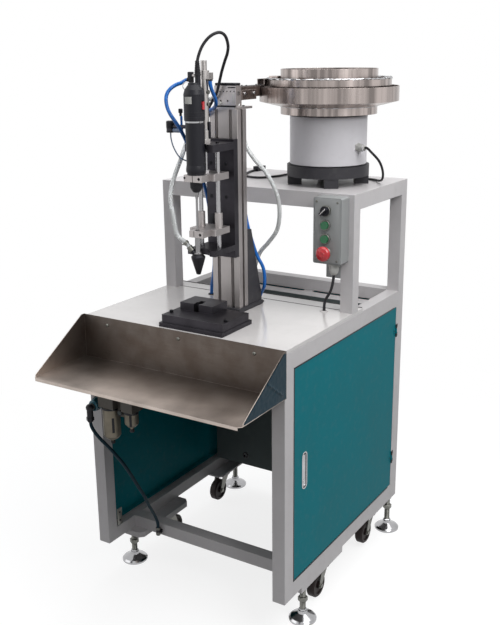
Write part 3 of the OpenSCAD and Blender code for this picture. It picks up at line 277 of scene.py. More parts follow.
FINISHES = {
    "frame_paint": powder_coat("light_grey_paint", srgb(198, 195, 196), 0.4),
    "table_paint": powder_coat("pale_table_paint", srgb(199, 196, 195), 0.16, 0.04, 0.15, 0.9),
    "tray_steel": brushed_metal("tray_sheet_steel", srgb(110, 103, 98), 0.32, LENGTHWAYS, marks_and_painted_light=LIP_PAINTED_SHINE),
    "teal_paint": powder_coat("teal_panel_paint", srgb(8, 116, 127), 0.5, 0.35, 0.2, 0.06),
    "dark_paint": powder_coat("dark_plate_paint", srgb(92, 100, 100), 0.5, sheen=0.15),
    "grey_plastic": moulded("device_grey_plastic", srgb(182, 182, 178), 0.5),
    "dark_metal": powder_coat("hinge_black_paint", srgb(42, 42, 45), 0.46),
    "chrome": smooth_metal("bright_chrome", srgb(182, 182, 184), 0.16),
    "zinc": smooth_metal("zinc_plating", srgb(124, 124, 119), 0.4, 0.35),
    "aluminium": brushed_metal("satin_aluminium", srgb(172, 167, 166), 0.42, UPRIGHT, 0.08, 0.14),
    "black_paint": powder_coat("black_casting_paint", srgb(49, 48, 52), 0.52, 0.5),
    "charcoal": smooth_metal("black_anodised_plate", srgb(66, 64, 69), 0.44, 0.3),
    "hard_chrome": smooth_metal("ground_hard_chrome", srgb(170, 169, 171), 0.2, 0.12),
    "cylinder_alu": smooth_metal("cylinder_satin_tube", srgb(172, 168, 166), 0.32),
    "black_plastic": moulded("black_moulding", srgb(26, 26, 32), 0.42, sheen=0.24),
    "red_plastic": moulded("red_moulding", srgb(190, 34, 44), 0.3, 0.08, 0.3),
    "tool_steel": smooth_metal("ground_tool_steel", srgb(150, 149, 150), 0.26),
    "black_oxide": smooth_metal("black_oxide_steel", srgb(48, 48, 51), 0.4),
    "feeder_steel": painted_reflection_steel("feeder_stainless", srgb(170, 160, 156), 0.24, FEEDER_AXIS),
    "drum_paint": powder_coat("drum_white_paint", srgb(214, 212, 216), 0.4),
    "box_paint": powder_coat("control_box_paint", srgb(148, 150, 150), 0.46),
    "green_plastic": moulded("green_button_moulding", srgb(22, 104, 62), 0.28, 0.06, 0.3),
    "air_body": powder_coat("air_unit_grey_paint", srgb(88, 84, 78), 0.46),
    "smoke_bowl": smooth_metal("bowl_guard_metal", srgb(112, 106, 95), 0.5, 0.3),
    "valve_teal": moulded("teal_valve_moulding", srgb(16, 92, 108), 0.3, 0.1, 0.2),
    "black_rubber": moulded("black_cable_sheath", srgb(25, 24, 28), 0.5, 0.3, sheen=0.25),
    "clear_hose": see_through("clear_hose_wall", srgb(238, 240, 240), 0.2, 0.45),
    "blue_tube": moulded("blue_air_tube", srgb(8, 100, 184), 0.3, 0.06, 0.15, 0.35),
    "signal_tube": moulded("thin_signal_tube", srgb(110, 130, 160), 0.3, 0.05, 0.2),
    "grey_cable": moulded("dark_cable_sheath", srgb(36, 36, 40), 0.45, 0.25, sheen=0.3),
    "air_hose": moulded("blue_grey_air_hose", srgb(16, 43, 55), 0.45, 0.2, sheen=0.12),
    "wheel_rubber": moulded("caster_tread", srgb(36, 28, 27), 0.5, 0.35, sheen=0.2),
}

for part in frame["record"]["subparts"]:
    node = frame["nodes"][part["node"]]
    node.data.materials.clear()
    node.data.materials.append(FINISHES[part["material_slot"]])

# Camera, floor and light

PHOTO_LONG_SIDE, FOCAL_PIXELS, SENSOR_WIDTH = 625, 889.7, 36.0
YAW, PITCH, ROLL = math.radians(32.09), math.radians(16.33), math.radians(-0.617)
CAMERA_PLACE = (1.35485, -2.080185, 1.559757)
BACKDROP, SKY_TINT, SKY_STRENGTH = (1.0, 1.0, 1.0, 1.0), (0.95, 0.97, 1.0, 1.0), 0.3
FLOOR_SIZE, FLOOR_GAP, FLOOR_FADE = 14.0, 0.0004, (0.75, 1.9)
FLOOR_GREY, FLOOR_LIFT = (0.25, 0.25, 0.25, 1.0), 0.82
LAMP_AIM = Vector((0.0, 0.0, 0.8))

camera = bpy.data.objects.new("camera", bpy.data.cameras.new("camera"))
bpy.context.scene.collection.objects.link(camera)
camera.data.sensor_width = SENSOR_WIDTH
camera.data.lens = FOCAL_PIXELS / PHOTO_LONG_SIDE * SENSOR_WIDTH
forward = Vector((-math.sin(YAW) * math.cos(PITCH), math.cos(YAW) * math.cos(PITCH), -math.sin(PITCH)))
level = Vector((math.cos(YAW), math.sin(YAW), 0.0))
rising = level.cross(forward)
right = math.cos(ROLL) * level + math.sin(ROLL) * rising
upward = math.cos(ROLL) * rising - math.sin(ROLL) * level
facing = Matrix((right, upward, -forward)).transposed().to_4x4()
camera.matrix_world = Matrix.Translation(CAMERA_PLACE) @ facing
bpy.context.scene.camera = camera


def seen_directly(tree):
    """1 on rays that show the backdrop: straight, mirrored or through something clear."""
    wire = Wire(tree)
    path = tree.nodes.new("ShaderNodeLightPath")
    kinds = ("Camera", "Glossy", "Transmission")
    straight, mirrored, through = (Wire(tree, path.outputs[f"Is {kind} Ray"]) for kind in kinds)
    return wire, straight | mirrored | through


world = bpy.data.worlds.new("studio")
bpy.context.scene.world = world
world.use_nodes = True
world.node_tree.nodes.clear()
wire, seen = seen_directly(world.node_tree)
sky = wire.add("Background", {"Color": SKY_TINT, "Strength": SKY_STRENGTH})
white = wire.add("Background", {"Color": BACKDROP, "Strength": 1.0})
mixed = wire.add("MixShader", {0: seen, 1: sky, 2: white})
output = world.node_tree.nodes.new("ShaderNodeOutputWorld")
world.node_tree.links.new(mixed.socket, output.inputs["Surface"])

bpy.ops.object.select_all(action="DESELECT")
bpy.ops.mesh.primitive_plane_add(size=FLOOR_SIZE, location=(0.0, 0.0, -FLOOR_GAP))
floor = bpy.context.object
floor.name = "floor"
paving = bpy.data.materials.new("pale_floor")
paving.use_nodes = True
paving.node_tree.nodes.clear()
wire, seen = seen_directly(paving.node_tree)
matt = wire.add("BsdfDiffuse", {"Color": FLOOR_GREY})
lift = wire.add("Emission", {"Color": BACKDROP, "Strength": FLOOR_LIFT * seen})
near = wire.add("AddShader", {0: matt, 1: lift})
far = wire.add("Emission", {"Color": BACKDROP, "Strength": seen})
spread = wire.add("VectorMath", {0: wire.add("TexCoord", out="Object")}, out="Value", operation="LENGTH")
fade = wire.add("MapRange", {0: spread, 1: FLOOR_FADE[0], 2: FLOOR_FADE[1]}, interpolation_type="SMOOTHSTEP")
total = wire.add("MixShader", {0: fade, 1: near, 2: far})
output = paving.node_tree.nodes.new("ShaderNodeOutputMaterial")
paving.node_tree.links.new(total.socket, output.inputs["Surface"])
floor.data.materials.append(paving)

for name, place, size, watts in (
    ("overhead_light", (0.4, 0.2, 3.3), 2.6, 62.0),
    ("key_light", (1.9, -0.7, 2.5), 1.4, 38.0),
    ("fill_light", (-2.6, -2.2, 2.3), 2.4, 22.0),
):
    lamp = bpy.data.objects.new(name, bpy.data.lights.new(name, "AREA"))
    bpy.context.scene.collection.objects.link(lamp)
    lamp.data.size, lamp.data.energy = size, watts
    lamp.location = place
    lamp.rotation_euler = (LAMP_AIM - Vector(place)).to_track_quat("-Z", "Y").to_euler()

# Cords


def only(*pieces):
    """These objects alone are selected, the first one active."""
    bpy.ops.object.select_all(action="DESELECT")
    for piece in pieces:
        piece.select_set(True)
    bpy.context.view_layer.objects.active = pieces[0]


ROUTE_STEPS = 7


def smooth_route(points):
    """Points in millimetres along a smooth line through a route's points, given back in metres."""
    line = [Vector(point) * MM for point in points]
    ends = [2 * line[0] - line[1], *line, 2 * line[-1] - line[-2]]
    path = []
    for before, start, end, after in zip(ends, ends[1:], ends[2:], ends[3:]):
        spans = ((before, start), (start, end), (end, after))
        first, here, last = (max(1e-6, (b - a).length ** 0.5) for a, b in spans)
        leave = ((start - before) / first - (end - before) / (first + here) + (end - start) / here) * here
        arrive = ((end - start) / here - (after - start) / (here + last) + (after - end) / last) * here
        for step in range(ROUTE_STEPS):
            t = step / ROUTE_STEPS
            path.append(
                (2 * t**3 - 3 * t**2 + 1) * start + (t**3 - 2 * t**2 + t) * leave
                + (3 * t**2 - 2 * t**3) * end + (t**3 - t**2) * arrive
            )
    return [*path, line[-1]]


CORD_ROUNDNESS, HOSE_WALL = 4, 1.4


def free_cord(
    node, slot, radius_mm, route, bodies=("machine",), bend=None, wall_mm=0.0,
    far_end="object", stiffness="medium", lay="hanging", **facts,
):
    """A cord, cable or hose that stands for its plain CAD tube.

    It rides on the first body; where bend is given, it is fixed where it lies and rides on no body, and the
    two places in bend are not used.
    """
    path = smooth_route(route)
    line = bpy.data.curves.new(node + "_line", "CURVE")
    line.dimensions, line.use_fill_caps = "3D", True
    line.bevel_depth, line.bevel_resolution = radius_mm * MM, CORD_ROUNDNESS
    spline = line.splines.new("POLY")
    spline.points.add(len(path) - 1)
    for point, place in zip(spline.points, path):
        point.co = (*place, 1.0)
    cord = bpy.data.objects.new(node + "_sheath", line)
    bpy.context.scene.collection.objects.link(cord)
    only(cord)
    bpy.ops.object.convert(target="MESH")
    cord = bpy.context.object
    bpy.ops.object.shade_smooth()
    if wall_mm:
        wall = cord.modifiers.new("wall", "SOLIDIFY")
        wall.thickness, wall.offset = wall_mm * MM, -1.0
        bpy.ops.object.modifier_apply(modifier=wall.name)
    cord.data.materials.clear()
    cord.data.materials.append(FINISHES[slot])
    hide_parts(node)
    if bend:
        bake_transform(cord)
    else:
        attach(cord, bodies[0])
    length = sum((b - a).length for a, b in zip(path, path[1:]))


free_cord(
    "driver_cable", "black_rubber", 4.0,
    [(6, -167.5, 1524), (6, -167.5, 1536), (8, -165, 1550), (14, -157, 1573), (25, -146, 1593),
     (36, -134, 1604), (46, -121, 1607.5), (51.5, -107, 1600), (51, -93, 1577), (43, -84, 1558),
     (28, -74, 1538), (9, -62, 1509), (-5, -53.5, 1481), (-16, -50.5, 1455), (-34, -46.5, 1432),
     (-52, -36.5, 1410), (-55, -16.5, 1380), (-52, 1.5, 1346), (-42, 9.5, 1312), (-32, 10, 1262),
     (-24, 13, 1206), (-22, 17.5, 1150), (-20, 37.5, 1055), (-12, 55.5, 960), (-10, 87.5, 870),
     (-10, 87.5, 840)],
    ("driver_carriage", "machine"), ((0.006, -0.1675, 1.536), (-0.005, -0.0535, 1.481)),
)
free_cord(
    "screw_hose", "clear_hose", 6.0,
    [(-41, -27.5, 1438), (-54, -27.5, 1438), (-68, -33.5, 1428), (-84, -52.5, 1396), (-92, -82.5, 1335),
     (-80, -132.5, 1286), (-76, -166.5, 1248), (-76, -186.5, 1212), (-72, -196.5, 1180),
     (-62, -200.5, 1146), (-53.2, -194.9, 1089.7), (-31.2, -187.9, 1070.3), (-19.2, -183.9, 1054.8)],
    ("machine", "nozzle_carriage"), ((-0.092, -0.0825, 1.335), (-0.0532, -0.1949, 1.0897)),
    wall_mm=HOSE_WALL,
)
free_cord(
    "vent_hose", "clear_hose", 6.0,
    [(22, 21.5, 1412), (22, 21.5, 1398), (23, 20.5, 1380), (26, 21.5, 1320), (52, 25.5, 1278),
     (88, 33.5, 1238), (114, 45.5, 1180), (118, 53.5, 1128), (104, 63.5, 1076), (72, 71.5, 1036),
     (38, 77.5, 1000), (14, 83.5, 940), (8, 87.5, 870), (8, 87.5, 840)],
    wall_mm=HOSE_WALL,
)
free_cord(
    "blue_loop_tube", "blue_tube", 5.0,
    [(-48.1, -130.5, 1491), (-56, -130.5, 1491), (-65, -140.5, 1484), (-76, -149.5, 1479),
     (-85, -161.5, 1470), (-90, -170.5, 1458), (-90, -176.5, 1444), (-85, -179.5, 1424),
     (-75, -180.5, 1406), (-64, -175.5, 1388), (-56, -166.5, 1369), (-55, -146.5, 1342),
     (-58, -121.5, 1309), (-60, -78.5, 1250), (-62, -38.5, 1170), (-64, -8.5, 1000), (-84, 17.5, 948),
     (-135, 79.5, 882), (-140, 84.5, 856), (-140, 84.5, 840)],
)
free_cord(
    "blue_supply_tube", "blue_tube", 5.0,
    [(19, -130.5, 1492.9), (19, -130.5, 1482), (19, -125.5, 1469), (17, -112.5, 1453), (13, -98.5, 1439),
     (4, -84.5, 1426), (-14, -69.5, 1416), (-38, -59.5, 1406), (-57, -42.5, 1388), (-58, -8.5, 1330),
     (-40, 21.5, 1264), (-2, 39.5, 1180), (24, 37.5, 1080), (42, 51.5, 1002), (61, 59.5, 958),
     (60, 65.5, 908), (34, 91.5, 878), (28, 87.5, 856), (28, 87.5, 840)],
)
free_cord(
    "signal_tube", "signal_tube", 1.8,
    [(-101, -146.5, 1356), (-101, -146.5, 1342), (-92, -148.5, 1318), (-74, -144.5, 1290),
     (-62, -128.5, 1280), (-66, -100.5, 1272), (-68, -78.5, 1267), (-64, -61.5, 1262),
     (-55, -54.5, 1260), (-45, -54.5, 1260)],
    stiffness="limp",
)
free_cord(
    "control_cable", "grey_cable", 4.0,
    [(281, 71.5, 984), (281, 71.5, 963), (269, 78.5, 917), (246, 88.5, 880), (243, 89.5, 856),
     (243, 89.5, 840)],
)
free_cord(
    "feeder_cable", "black_rubber", 3.5,
    [(286.37, 238.3, 1297), (296.03, 235.71, 1297), (309.55, 232.09, 1288), (324, 259.5, 1259),
     (322, 291.5, 1225), (303, 327.5, 1197), (255, 375.5, 1189), (160, 414.5, 1189), (60, 419.5, 1189),
     (-23, 381.5, 1189), (-41, 307.5, 1189), (-73, 257.5, 1189), (-127, 269.5, 1189),
     (-163, 333.5, 1189), (-175, 385.5, 1189), (-175, 403.5, 1189)],
    far_end="connector", lay="loose", with_pieces=["cord_plugs"],
)
free_cord(
    "inlet_hose", "air_hose", 5.0,
    [(-273, -342, 564), (-273, -342, 554), (-270, -342, 542), (-262, -341, 529), (-251, -339, 516),
     (-237, -334, 500), (-221, -325, 479), (-210, -314, 457), (-200, -301, 432), (-193, -285, 401),
     (-189, -266, 365), (-185, -246, 326), (-182, -228.5, 293), (-184, -207.5, 252), (-186, -185.5, 216),
     (-187, -171.5, 188), (-187, -166.5, 170), (-187, -166.5, 160)],
    far_end="plug", with_pieces=["cord_plugs"],
)

# Modelling tools

LEFT, RIGHT, FRONT, BACK, UP, DOWN = (-1, 0, 0), (1, 0, 0), (0, -1, 0), (0, 1, 0), (0, 0, 1), (0, 0, -1)
SMOOTH_ANGLE = math.radians(38)


def edit_all():
    """Edit mode on the active piece, with all of it selected."""
    bpy.ops.object.mode_set(mode="EDIT")
    bpy.ops.mesh.select_all(action="SELECT")


def turned(profile, sides, hollow=False):
    """A turned piece round Z: a circle drawn up ring by ring along (radius, height) in millimetres.

    A hollow one is closed from its last ring back to its first.
    """
    bpy.ops.object.select_all(action="DESELECT")
    radius, height = profile[0]
    fill = "NOTHING" if hollow else "NGON"
    bpy.ops.mesh.primitive_circle_add(vertices=sides, radius=radius * MM, fill_type=fill)
    piece = bpy.context.object
    edit_all()
    bpy.ops.transform.translate(value=(0.0, 0.0, height * MM))
    for wide, high in profile[1:]:
        rise, growth = (0.0, 0.0, (high - height) * MM), (wide / radius, wide / radius, 1.0)
        bpy.ops.mesh.extrude_region_move(TRANSFORM_OT_translate={"value": rise})
        bpy.ops.transform.resize(value=growth, center_override=(0.0, 0.0, high * MM))
        radius, height = wide, high
    if hollow:
        bpy.ops.mesh.select_all(action="DESELECT")
        bpy.ops.mesh.select_non_manifold()
        bpy.ops.mesh.bridge_edge_loops()
    bpy.ops.mesh.select_all(action="SELECT")
    bpy.ops.mesh.normals_make_consistent(inside=False)
    bpy.ops.object.mode_set(mode="OBJECT")
    return piece


def ring(outer, inner, low, high, sides, soft=0.5):
    """A turned collar with softened edges."""
    lower = [(inner, low), (outer - soft, low), (outer, low + soft)]
    upper = [(outer, high - soft), (outer - soft, high), (inner, high)]
    return turned(lower + upper, sides, hollow=True)


def slab(low, high, rounding, segments=2):
    """A block between two corners in millimetres with rounded edges."""
    bpy.ops.object.select_all(action="DESELECT")
    middle = [(a + b) / 2 * MM for a, b in zip(low, high)]
    bpy.ops.mesh.primitive_cube_add(size=1.0, location=middle)
    piece = bpy.context.object
    edit_all()
    bpy.ops.transform.resize(value=[(b - a) * MM for a, b in zip(low, high)], center_override=middle)
    bpy.ops.mesh.bevel(offset=rounding * MM, segments=segments, affect="EDGES")
    bpy.ops.object.mode_set(mode="OBJECT")
    bpy.ops.object.transform_apply(location=True, rotation=True, scale=True)
    return piece


def shift(piece, chosen, move):
    """Moves the vertices that a test picks by their place, in millimetres."""
    only(piece)
    bpy.ops.object.mode_set(mode="EDIT")
    bpy.ops.mesh.select_all(action="DESELECT")
    bpy.ops.object.mode_set(mode="OBJECT")
    for vertex in piece.data.vertices:
        vertex.select = chosen(vertex.co / MM)
    bpy.ops.object.mode_set(mode="EDIT")
    bpy.ops.transform.translate(value=[m * MM for m in move])
    bpy.ops.object.mode_set(mode="OBJECT")
    return piece


def arc_plate(radius, thick, low, high, start, end, axis, steps=12):
    """A curved plate on a turned wall: an upright strip spun round an axis from one angle to another."""
    bpy.ops.object.select_all(action="DESELECT")
    middle = Vector((axis[0] + radius + thick / 2, axis[1], (low + high) / 2)) * MM
    bpy.ops.mesh.primitive_plane_add(size=1.0, location=middle, rotation=(math.pi / 2, 0.0, 0.0))
    piece = bpy.context.object
    bpy.ops.object.transform_apply(location=True, rotation=True, scale=True)
    edit_all()
    bpy.ops.transform.resize(value=(thick * MM, 1.0, (high - low) * MM), center_override=middle)
    centre = (axis[0] * MM, axis[1] * MM, 0.0)
    bpy.ops.mesh.spin(steps=steps, angle=math.radians(end - start), center=centre, axis=(0.0, 0.0, 1.0))
    bpy.ops.mesh.select_all(action="SELECT")
    bpy.ops.mesh.normals_make_consistent(inside=False)
    bpy.ops.object.mode_set(mode="OBJECT")
    # The spin may run either way round; the plate is turned from where it came to lie to its start.
    about = Matrix.Translation(centre)
    sweep = max(math.atan2(v.co.y - centre[1], v.co.x - centre[0]) for v in piece.data.vertices)
    back = math.radians(start) - (0.0 if sweep > 0.001 else math.radians(start - end))
    piece.matrix_world = about @ Matrix.Rotation(back, 4, "Z") @ about.inverted()
    return piece


def cut(piece, tool):
    """The tool's shape is taken out of the piece."""
    only(piece)
    gap = piece.modifiers.new("cut", "BOOLEAN")
    gap.object, gap.operation, gap.solver = tool, "DIFFERENCE", "EXACT"
    bpy.ops.object.modifier_apply(modifier=gap.name)
    bpy.data.objects.remove(tool)
    return piece


def stood(piece, place, direction=UP, turn=0.0):
    """The piece with its own Z along a direction and its origin at a place in millimetres."""
    aim = Vector(direction).to_track_quat("Z", "Y").to_matrix().to_4x4()
    spun = Matrix.Rotation(math.radians(turn), 4, "Z")
    piece.matrix_world = Matrix.Translation(Vector(place) * MM) @ aim @ spun
    return piece


def joined(*pieces):
    """Several pieces made one."""
    only(*pieces)
    if len(pieces) > 1:
        bpy.ops.object.join()
    return bpy.context.object


def copied(model, stands):
    """Copies of a model, each with its own mesh, stood at (place, direction, turn) and made one piece."""
    made = []
    for place, direction, turn in stands:
        only(model)
        bpy.ops.object.duplicate(linked=False)
        made.append(stood(bpy.context.object, place, direction, turn))
    bpy.data.objects.remove(model)
    return joined(*made)


def set_out(model, places, direction=UP):
    """A model repeated at several places."""
    return copied(model, [(place, direction, 0.0) for place in places])


def set_round(model, count, place, direction=UP):
    """A model repeated in a ring round an axis."""
    return copied(model, [(place, direction, 360 / count * k) for k in range(count)])


def finished(piece, name, slot, body="machine"):
    """Fixes the piece in its place, names it, paints it and lets it ride on its body."""
    piece.name = piece.data.name = name
    only(piece)
    bpy.ops.object.transform_apply(location=True, rotation=True, scale=True)
    bpy.ops.object.shade_smooth_by_angle(angle=SMOOTH_ANGLE)
    piece.data.materials.clear()
    piece.data.materials.append(FINISHES[slot])
    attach(piece, body)


def cap_screw(radius, height):
    """The head of a socket cap screw on z = 0."""
    head = turned([(radius - 0.3, 0), (radius, 0.4), (radius, height - 0.6), (radius - 0.6, height)], 20)
    socket = radius * 0.56
    return cut(head, turned([(socket, height * 0.35), (socket, height + 1)], 6))


def pan_screw(radius, height):
    """A domed screw head with a cross recess on z = 0."""
    dome = [(radius, height * 0.4), (radius * 0.86, height * 0.75), (radius * 0.5, height)]
    head = turned([(radius, 0), *dome], 20)
    wide, slim, deep, over = radius * 0.55, radius * 0.1, height * 0.45, height + 1
    head = cut(head, slab((-wide, -slim, deep), (wide, slim, over), 0.02, 1))
    return cut(head, slab((-slim, -wide, deep), (slim, wide, over), 0.02, 1))


def hex_bolt(radius, height):
    """A hexagon head on its washer, standing on z = 0."""
    head = turned([(radius, 1.0), (radius, height - 0.6), (radius * 0.86, height)], 6)
    return joined(head, ring(radius * 1.3, radius * 0.5, 0, 1.1, 24, 0.3))


THREAD_PITCH, THREAD_ROOT, THREAD_CREST = 2.0, 0.05, 0.8


def threaded(radius, low, high):
    """A screw thread's ridges round a stem."""
    root, crest = radius + THREAD_ROOT, radius + THREAD_CREST
    one = turned([(root, low), (crest, low + THREAD_PITCH / 2), (root, low + THREAD_PITCH)], 20)
    only(one)
    row = one.modifiers.new("row", "ARRAY")
    row.use_relative_offset, row.use_constant_offset = False, True
    row.constant_offset_displace = (0.0, 0.0, THREAD_PITCH * MM)
    row.count = int((high - low) / THREAD_PITCH)
    bpy.ops.object.modifier_apply(modifier=row.name)
    return one

# Cabinet, table and tray

screws = set_out(pan_screw(5.0, 2.6), [(x, -280, 831) for x in (-245, 0, 237)], FRONT)
finished(screws, "tray_screws", "zinc")

FILM_LIP_RISE, FILM_TOP_RUN, FILM_WRINKLE, FILM_THICK = 6, 10, 0.9, 0.4
FOLD_START, FOLD_END, FOLD_WIDTH, FOLD_HEIGHT = (-372, 796), (-300, 744), 2.2, 2.4


def wrinkled_film(x, back, lip, low, high):
    """A plastic film on the tray's slanted side: a grid cut along the slant, with a fold and wrinkles."""
    bpy.ops.object.select_all(action="DESELECT")
    middle = (x * MM, (back + lip) / 2 * MM, (low + high) / 2 * MM)
    bpy.ops.mesh.primitive_grid_add(
        x_subdivisions=40, y_subdivisions=60, size=1.0, location=middle, rotation=(0.0, math.pi / 2, 0.0),
    )
    film = bpy.context.object
    bpy.ops.object.transform_apply(location=True, rotation=True, scale=True)
    edit_all()
    bpy.ops.transform.resize(value=(1.0, (back - lip) * MM, (high - low) * MM), center_override=middle)
    corner = low + FILM_LIP_RISE
    slant = Vector((0.0, corner - high, back - lip - FILM_TOP_RUN)).normalized()
    bpy.ops.mesh.bisect(plane_co=(x * MM, lip * MM, corner * MM), plane_no=slant, clear_outer=True)
    bpy.ops.mesh.select_all(action="SELECT")
    bpy.ops.transform.vertex_random(offset=FILM_WRINKLE * MM, uniform=0.0, normal=1.0, seed=4)
    bpy.ops.mesh.vertices_smooth(factor=0.5, repeat=3)
    bpy.ops.object.mode_set(mode="OBJECT")
    start, end = Vector((x, *FOLD_START)), Vector((x, *FOLD_END))
    run = (end - start).normalized()

    def on_fold(place):
        return abs((place - start).cross(run).x) < FOLD_WIDTH and start.y < place.y < end.y

    film = shift(film, on_fold, (FOLD_HEIGHT, 0, 0))
    wall = film.modifiers.new("wall", "SOLIDIFY")
    wall.thickness = FILM_THICK * MM
    bpy.ops.object.modifier_apply(modifier=wall.name)
    return film


film = wrinkled_film(331.6, back=-281.5, lip=TRAY_LIP, low=729, high=850)
finished(film, "tray_side_film", "air_hose")

cover = slab((-284, 311.8, 798.5), (284, 424, 800.5), 0.5)
tab = slab((-6, 420, 798.5), (26, 446, 801.8), 0.5)
finished(joined(cover, tab), "compartment_cover", "frame_paint")

# Painted shade: a black strip along the table's rear edge stands for the shade in the gap behind it.
rear_shade_strip = slab((-322, 172.5, 841), (322, 177, 851.2), 1.2)
finished(rear_shade_strip, "table_rear_shade_strip", "black_rubber")
strip = slab((-286, 119.8, 849), (286, 123.2, 850.5), 0.3)
finished(strip, "table_seam_strip", "dark_metal")

DOOR_SEAT, DOOR_FACE = 325, 325.9
DOOR_LOW, DOOR_HIGH = 176.5, 793.5
edging = [
    slab((DOOR_SEAT, -232.5, DOOR_LOW), (DOOR_FACE, -228.6, DOOR_HIGH), 0.3),
    slab((DOOR_SEAT, -230, 789.8), (DOOR_FACE, 402, DOOR_HIGH), 0.3),
    slab((DOOR_SEAT, -230, DOOR_LOW), (DOOR_FACE, 402, 180.2), 0.3),
]
finished(joined(*edging), "door_edge_trim", "black_rubber", "side_door")

GROMMET = [(7.2, 846), (7.2, 851.6), (8.2, 852.6), (10.5, 852.6), (11.6, 851.4), (11.6, 850.1), (8.0, 850.1)]
GROMMET += [(7.8, 846)]
LOOP_HOLE, PANEL_HOLE, CABLE_SLOT, SLOT_REACH = (-140, 84.5, 0), (243, 89.5, 0), (0, 87.5, 0), 30


def grommet(wider, sides):
    """The rubber lip of a table hole, so much wider in radius than the plain one."""
    return turned([(radius + wider, height) for radius, height in GROMMET], sides, hollow=True)


loop_grommet = stood(grommet(-1.0, 28), LOOP_HOLE)
panel_grommet = stood(grommet(0.0, 28), PANEL_HOLE)
slot_grommet = shift(grommet(1.6, 36), lambda v: v.x > 0.01, (SLOT_REACH, 0, 0))
slot_grommet = shift(slot_grommet, lambda v: v.x < -0.01, (-SLOT_REACH, 0, 0))
slot_grommet = stood(slot_grommet, CABLE_SLOT)
finished(joined(loop_grommet, slot_grommet), "table_grommets", "black_rubber")
finished(panel_grommet, "panel_grommet", "table_paint")

sill = stood(ring(11.0, 6.6, -2.5, 4.5, 28, 1.2), (-168, 309.5, 212), BACK)
finished(sill, "partition_grommet", "black_rubber")

tab = slab((-287, -238, 172), (-284.8, -217, 227), 0.5)
screws = set_out(pan_screw(3.4, 1.8), [(-284.9, -227.5, z) for z in (186, 213)], RIGHT)
finished(tab, "left_panel_tab", "zinc")
finished(screws, "left_tab_screws", "black_oxide")

REAR_FACE, LEFT_FACE = 471.4, -324.9
places = [(x, REAR_FACE, z) for x in (-276, -92, 92, 276) for z in (180, 790)]
places += [(x, REAR_FACE, z) for x in (-276, 276) for z in (383, 587)]
finished(set_out(pan_screw(4.4, 2.2), places, BACK), "rear_panel_screws", "zinc")
places = [(LEFT_FACE, y, z) for y in (-216, 96, 409) for z in (193, 777)]
places += [(LEFT_FACE, y, 485) for y in (-216, 409)]
finished(set_out(pan_screw(4.4, 2.2), places, LEFT), "left_panel_screws", "zinc")

HINGE_HEIGHTS, HINGE_SCREW_RISE = (279, 714), 14.2
places = [(DOOR_FACE, 412.5, z) for z in HINGE_HEIGHTS]
finished(set_out(pan_screw(2.6, 1.1), places, RIGHT), "door_hinge_screws", "black_oxide", "side_door")
places = [
    (DOOR_FACE, 431.5, z + rise) for z in HINGE_HEIGHTS for rise in (-HINGE_SCREW_RISE, HINGE_SCREW_RISE)
]
finished(set_out(pan_screw(2.6, 1.1), places, RIGHT), "frame_hinge_screws", "black_oxide")

LOCK_Y = -172.5
key = turned([(6.5, 0), (6.5, 0.8), (5.9, 1.3), (4.6, 1.3), (4.4, 0.9)], 28)
key = cut(key, slab((-0.7, -3.2, 0.2), (0.7, 3.2, 2.5), 0.1, 1))
finished(stood(key, (323.4, LOCK_Y, 452), RIGHT), "lever_key_barrel", "chrome", "lock_lever")
grip = arc_plate(9.4, 1.0, 0, 3.4, 200, 340, (0, 0), 16)
finished(stood(grip, (321.6, LOCK_Y, 447.6), RIGHT), "lever_grip_lip", "chrome", "lock_lever")

# Feet and casters

FOOT_XS, FRONT_FOOT_Y, REAR_FOOT_Y = (-306, 306), -141.5, 452.5
CASTER_XS, FRONT_CASTER_Y, REAR_CASTER_Y, BOLT_REACH = (-285, 285), 6.5, 336.5, (-25, 25)

threads = [
    set_out(threaded(8.0, 36.0, top), [(x, y, 0) for x in FOOT_XS])
    for y, top in ((FRONT_FOOT_Y, 99.5), (REAR_FOOT_Y, 111.5))
]
finished(joined(*threads), "foot_threads", "zinc")
collar = turned([(12.2, 29.5), (12.2, 34.5), (10.8, 36)], 6)
places = [(x, y, 0) for x in FOOT_XS for y in (FRONT_FOOT_Y, REAR_FOOT_Y)]
finished(set_out(collar, places), "foot_hex_collars", "chrome")
nut = turned([(12.8, 0), (14.2, 1.4), (14.2, 12.6), (12.8, 14)], 6)
places = [(x, y, z) for x in FOOT_XS for y, z in ((FRONT_FOOT_Y, 60), (REAR_FOOT_Y, 75))]
finished(set_out(nut, places), "foot_lock_nuts", "zinc")
places = [
    (x + across, y + along, z)
    for x in CASTER_XS for y, z in ((FRONT_CASTER_Y, 108), (REAR_CASTER_Y, 120))
    for across in BOLT_REACH for along in BOLT_REACH
]
finished(set_out(hex_bolt(5.2, 4.6), places, DOWN), "caster_plate_bolts", "zinc")

# Column and slide

places = [(-20, 58, 862), (20, 58, 862), (0, 32, 862)]
finished(set_out(cap_screw(6.5, 8), places), "column_base_screws", "black_oxide")
SLIDE_FACE = -64.4
places = [(x, SLIDE_FACE, z) for z in (1270, 1180) for x in (-29.5, 18)]
finished(set_out(cap_screw(5.2, 1.4), places, FRONT), "slide_screws", "black_oxide")
# Painted shade: a thin black slab on the slide plate stands for the shade in a recess.
recess_shade = slab((-40, -65.2, 1104), (-20.5, -64.2, 1132), 0.3)
finished(recess_shade, "slide_recess_shade", "black_oxide")
GUIDE_ROD_XS, GUIDE_ROD_Y = (-28.5, 28.5), -117.5
caps = set_out(cap_screw(4.6, 4.5), [(x, GUIDE_ROD_Y, 1330) for x in GUIDE_ROD_XS])
finished(caps, "guide_rod_screws", "black_oxide")

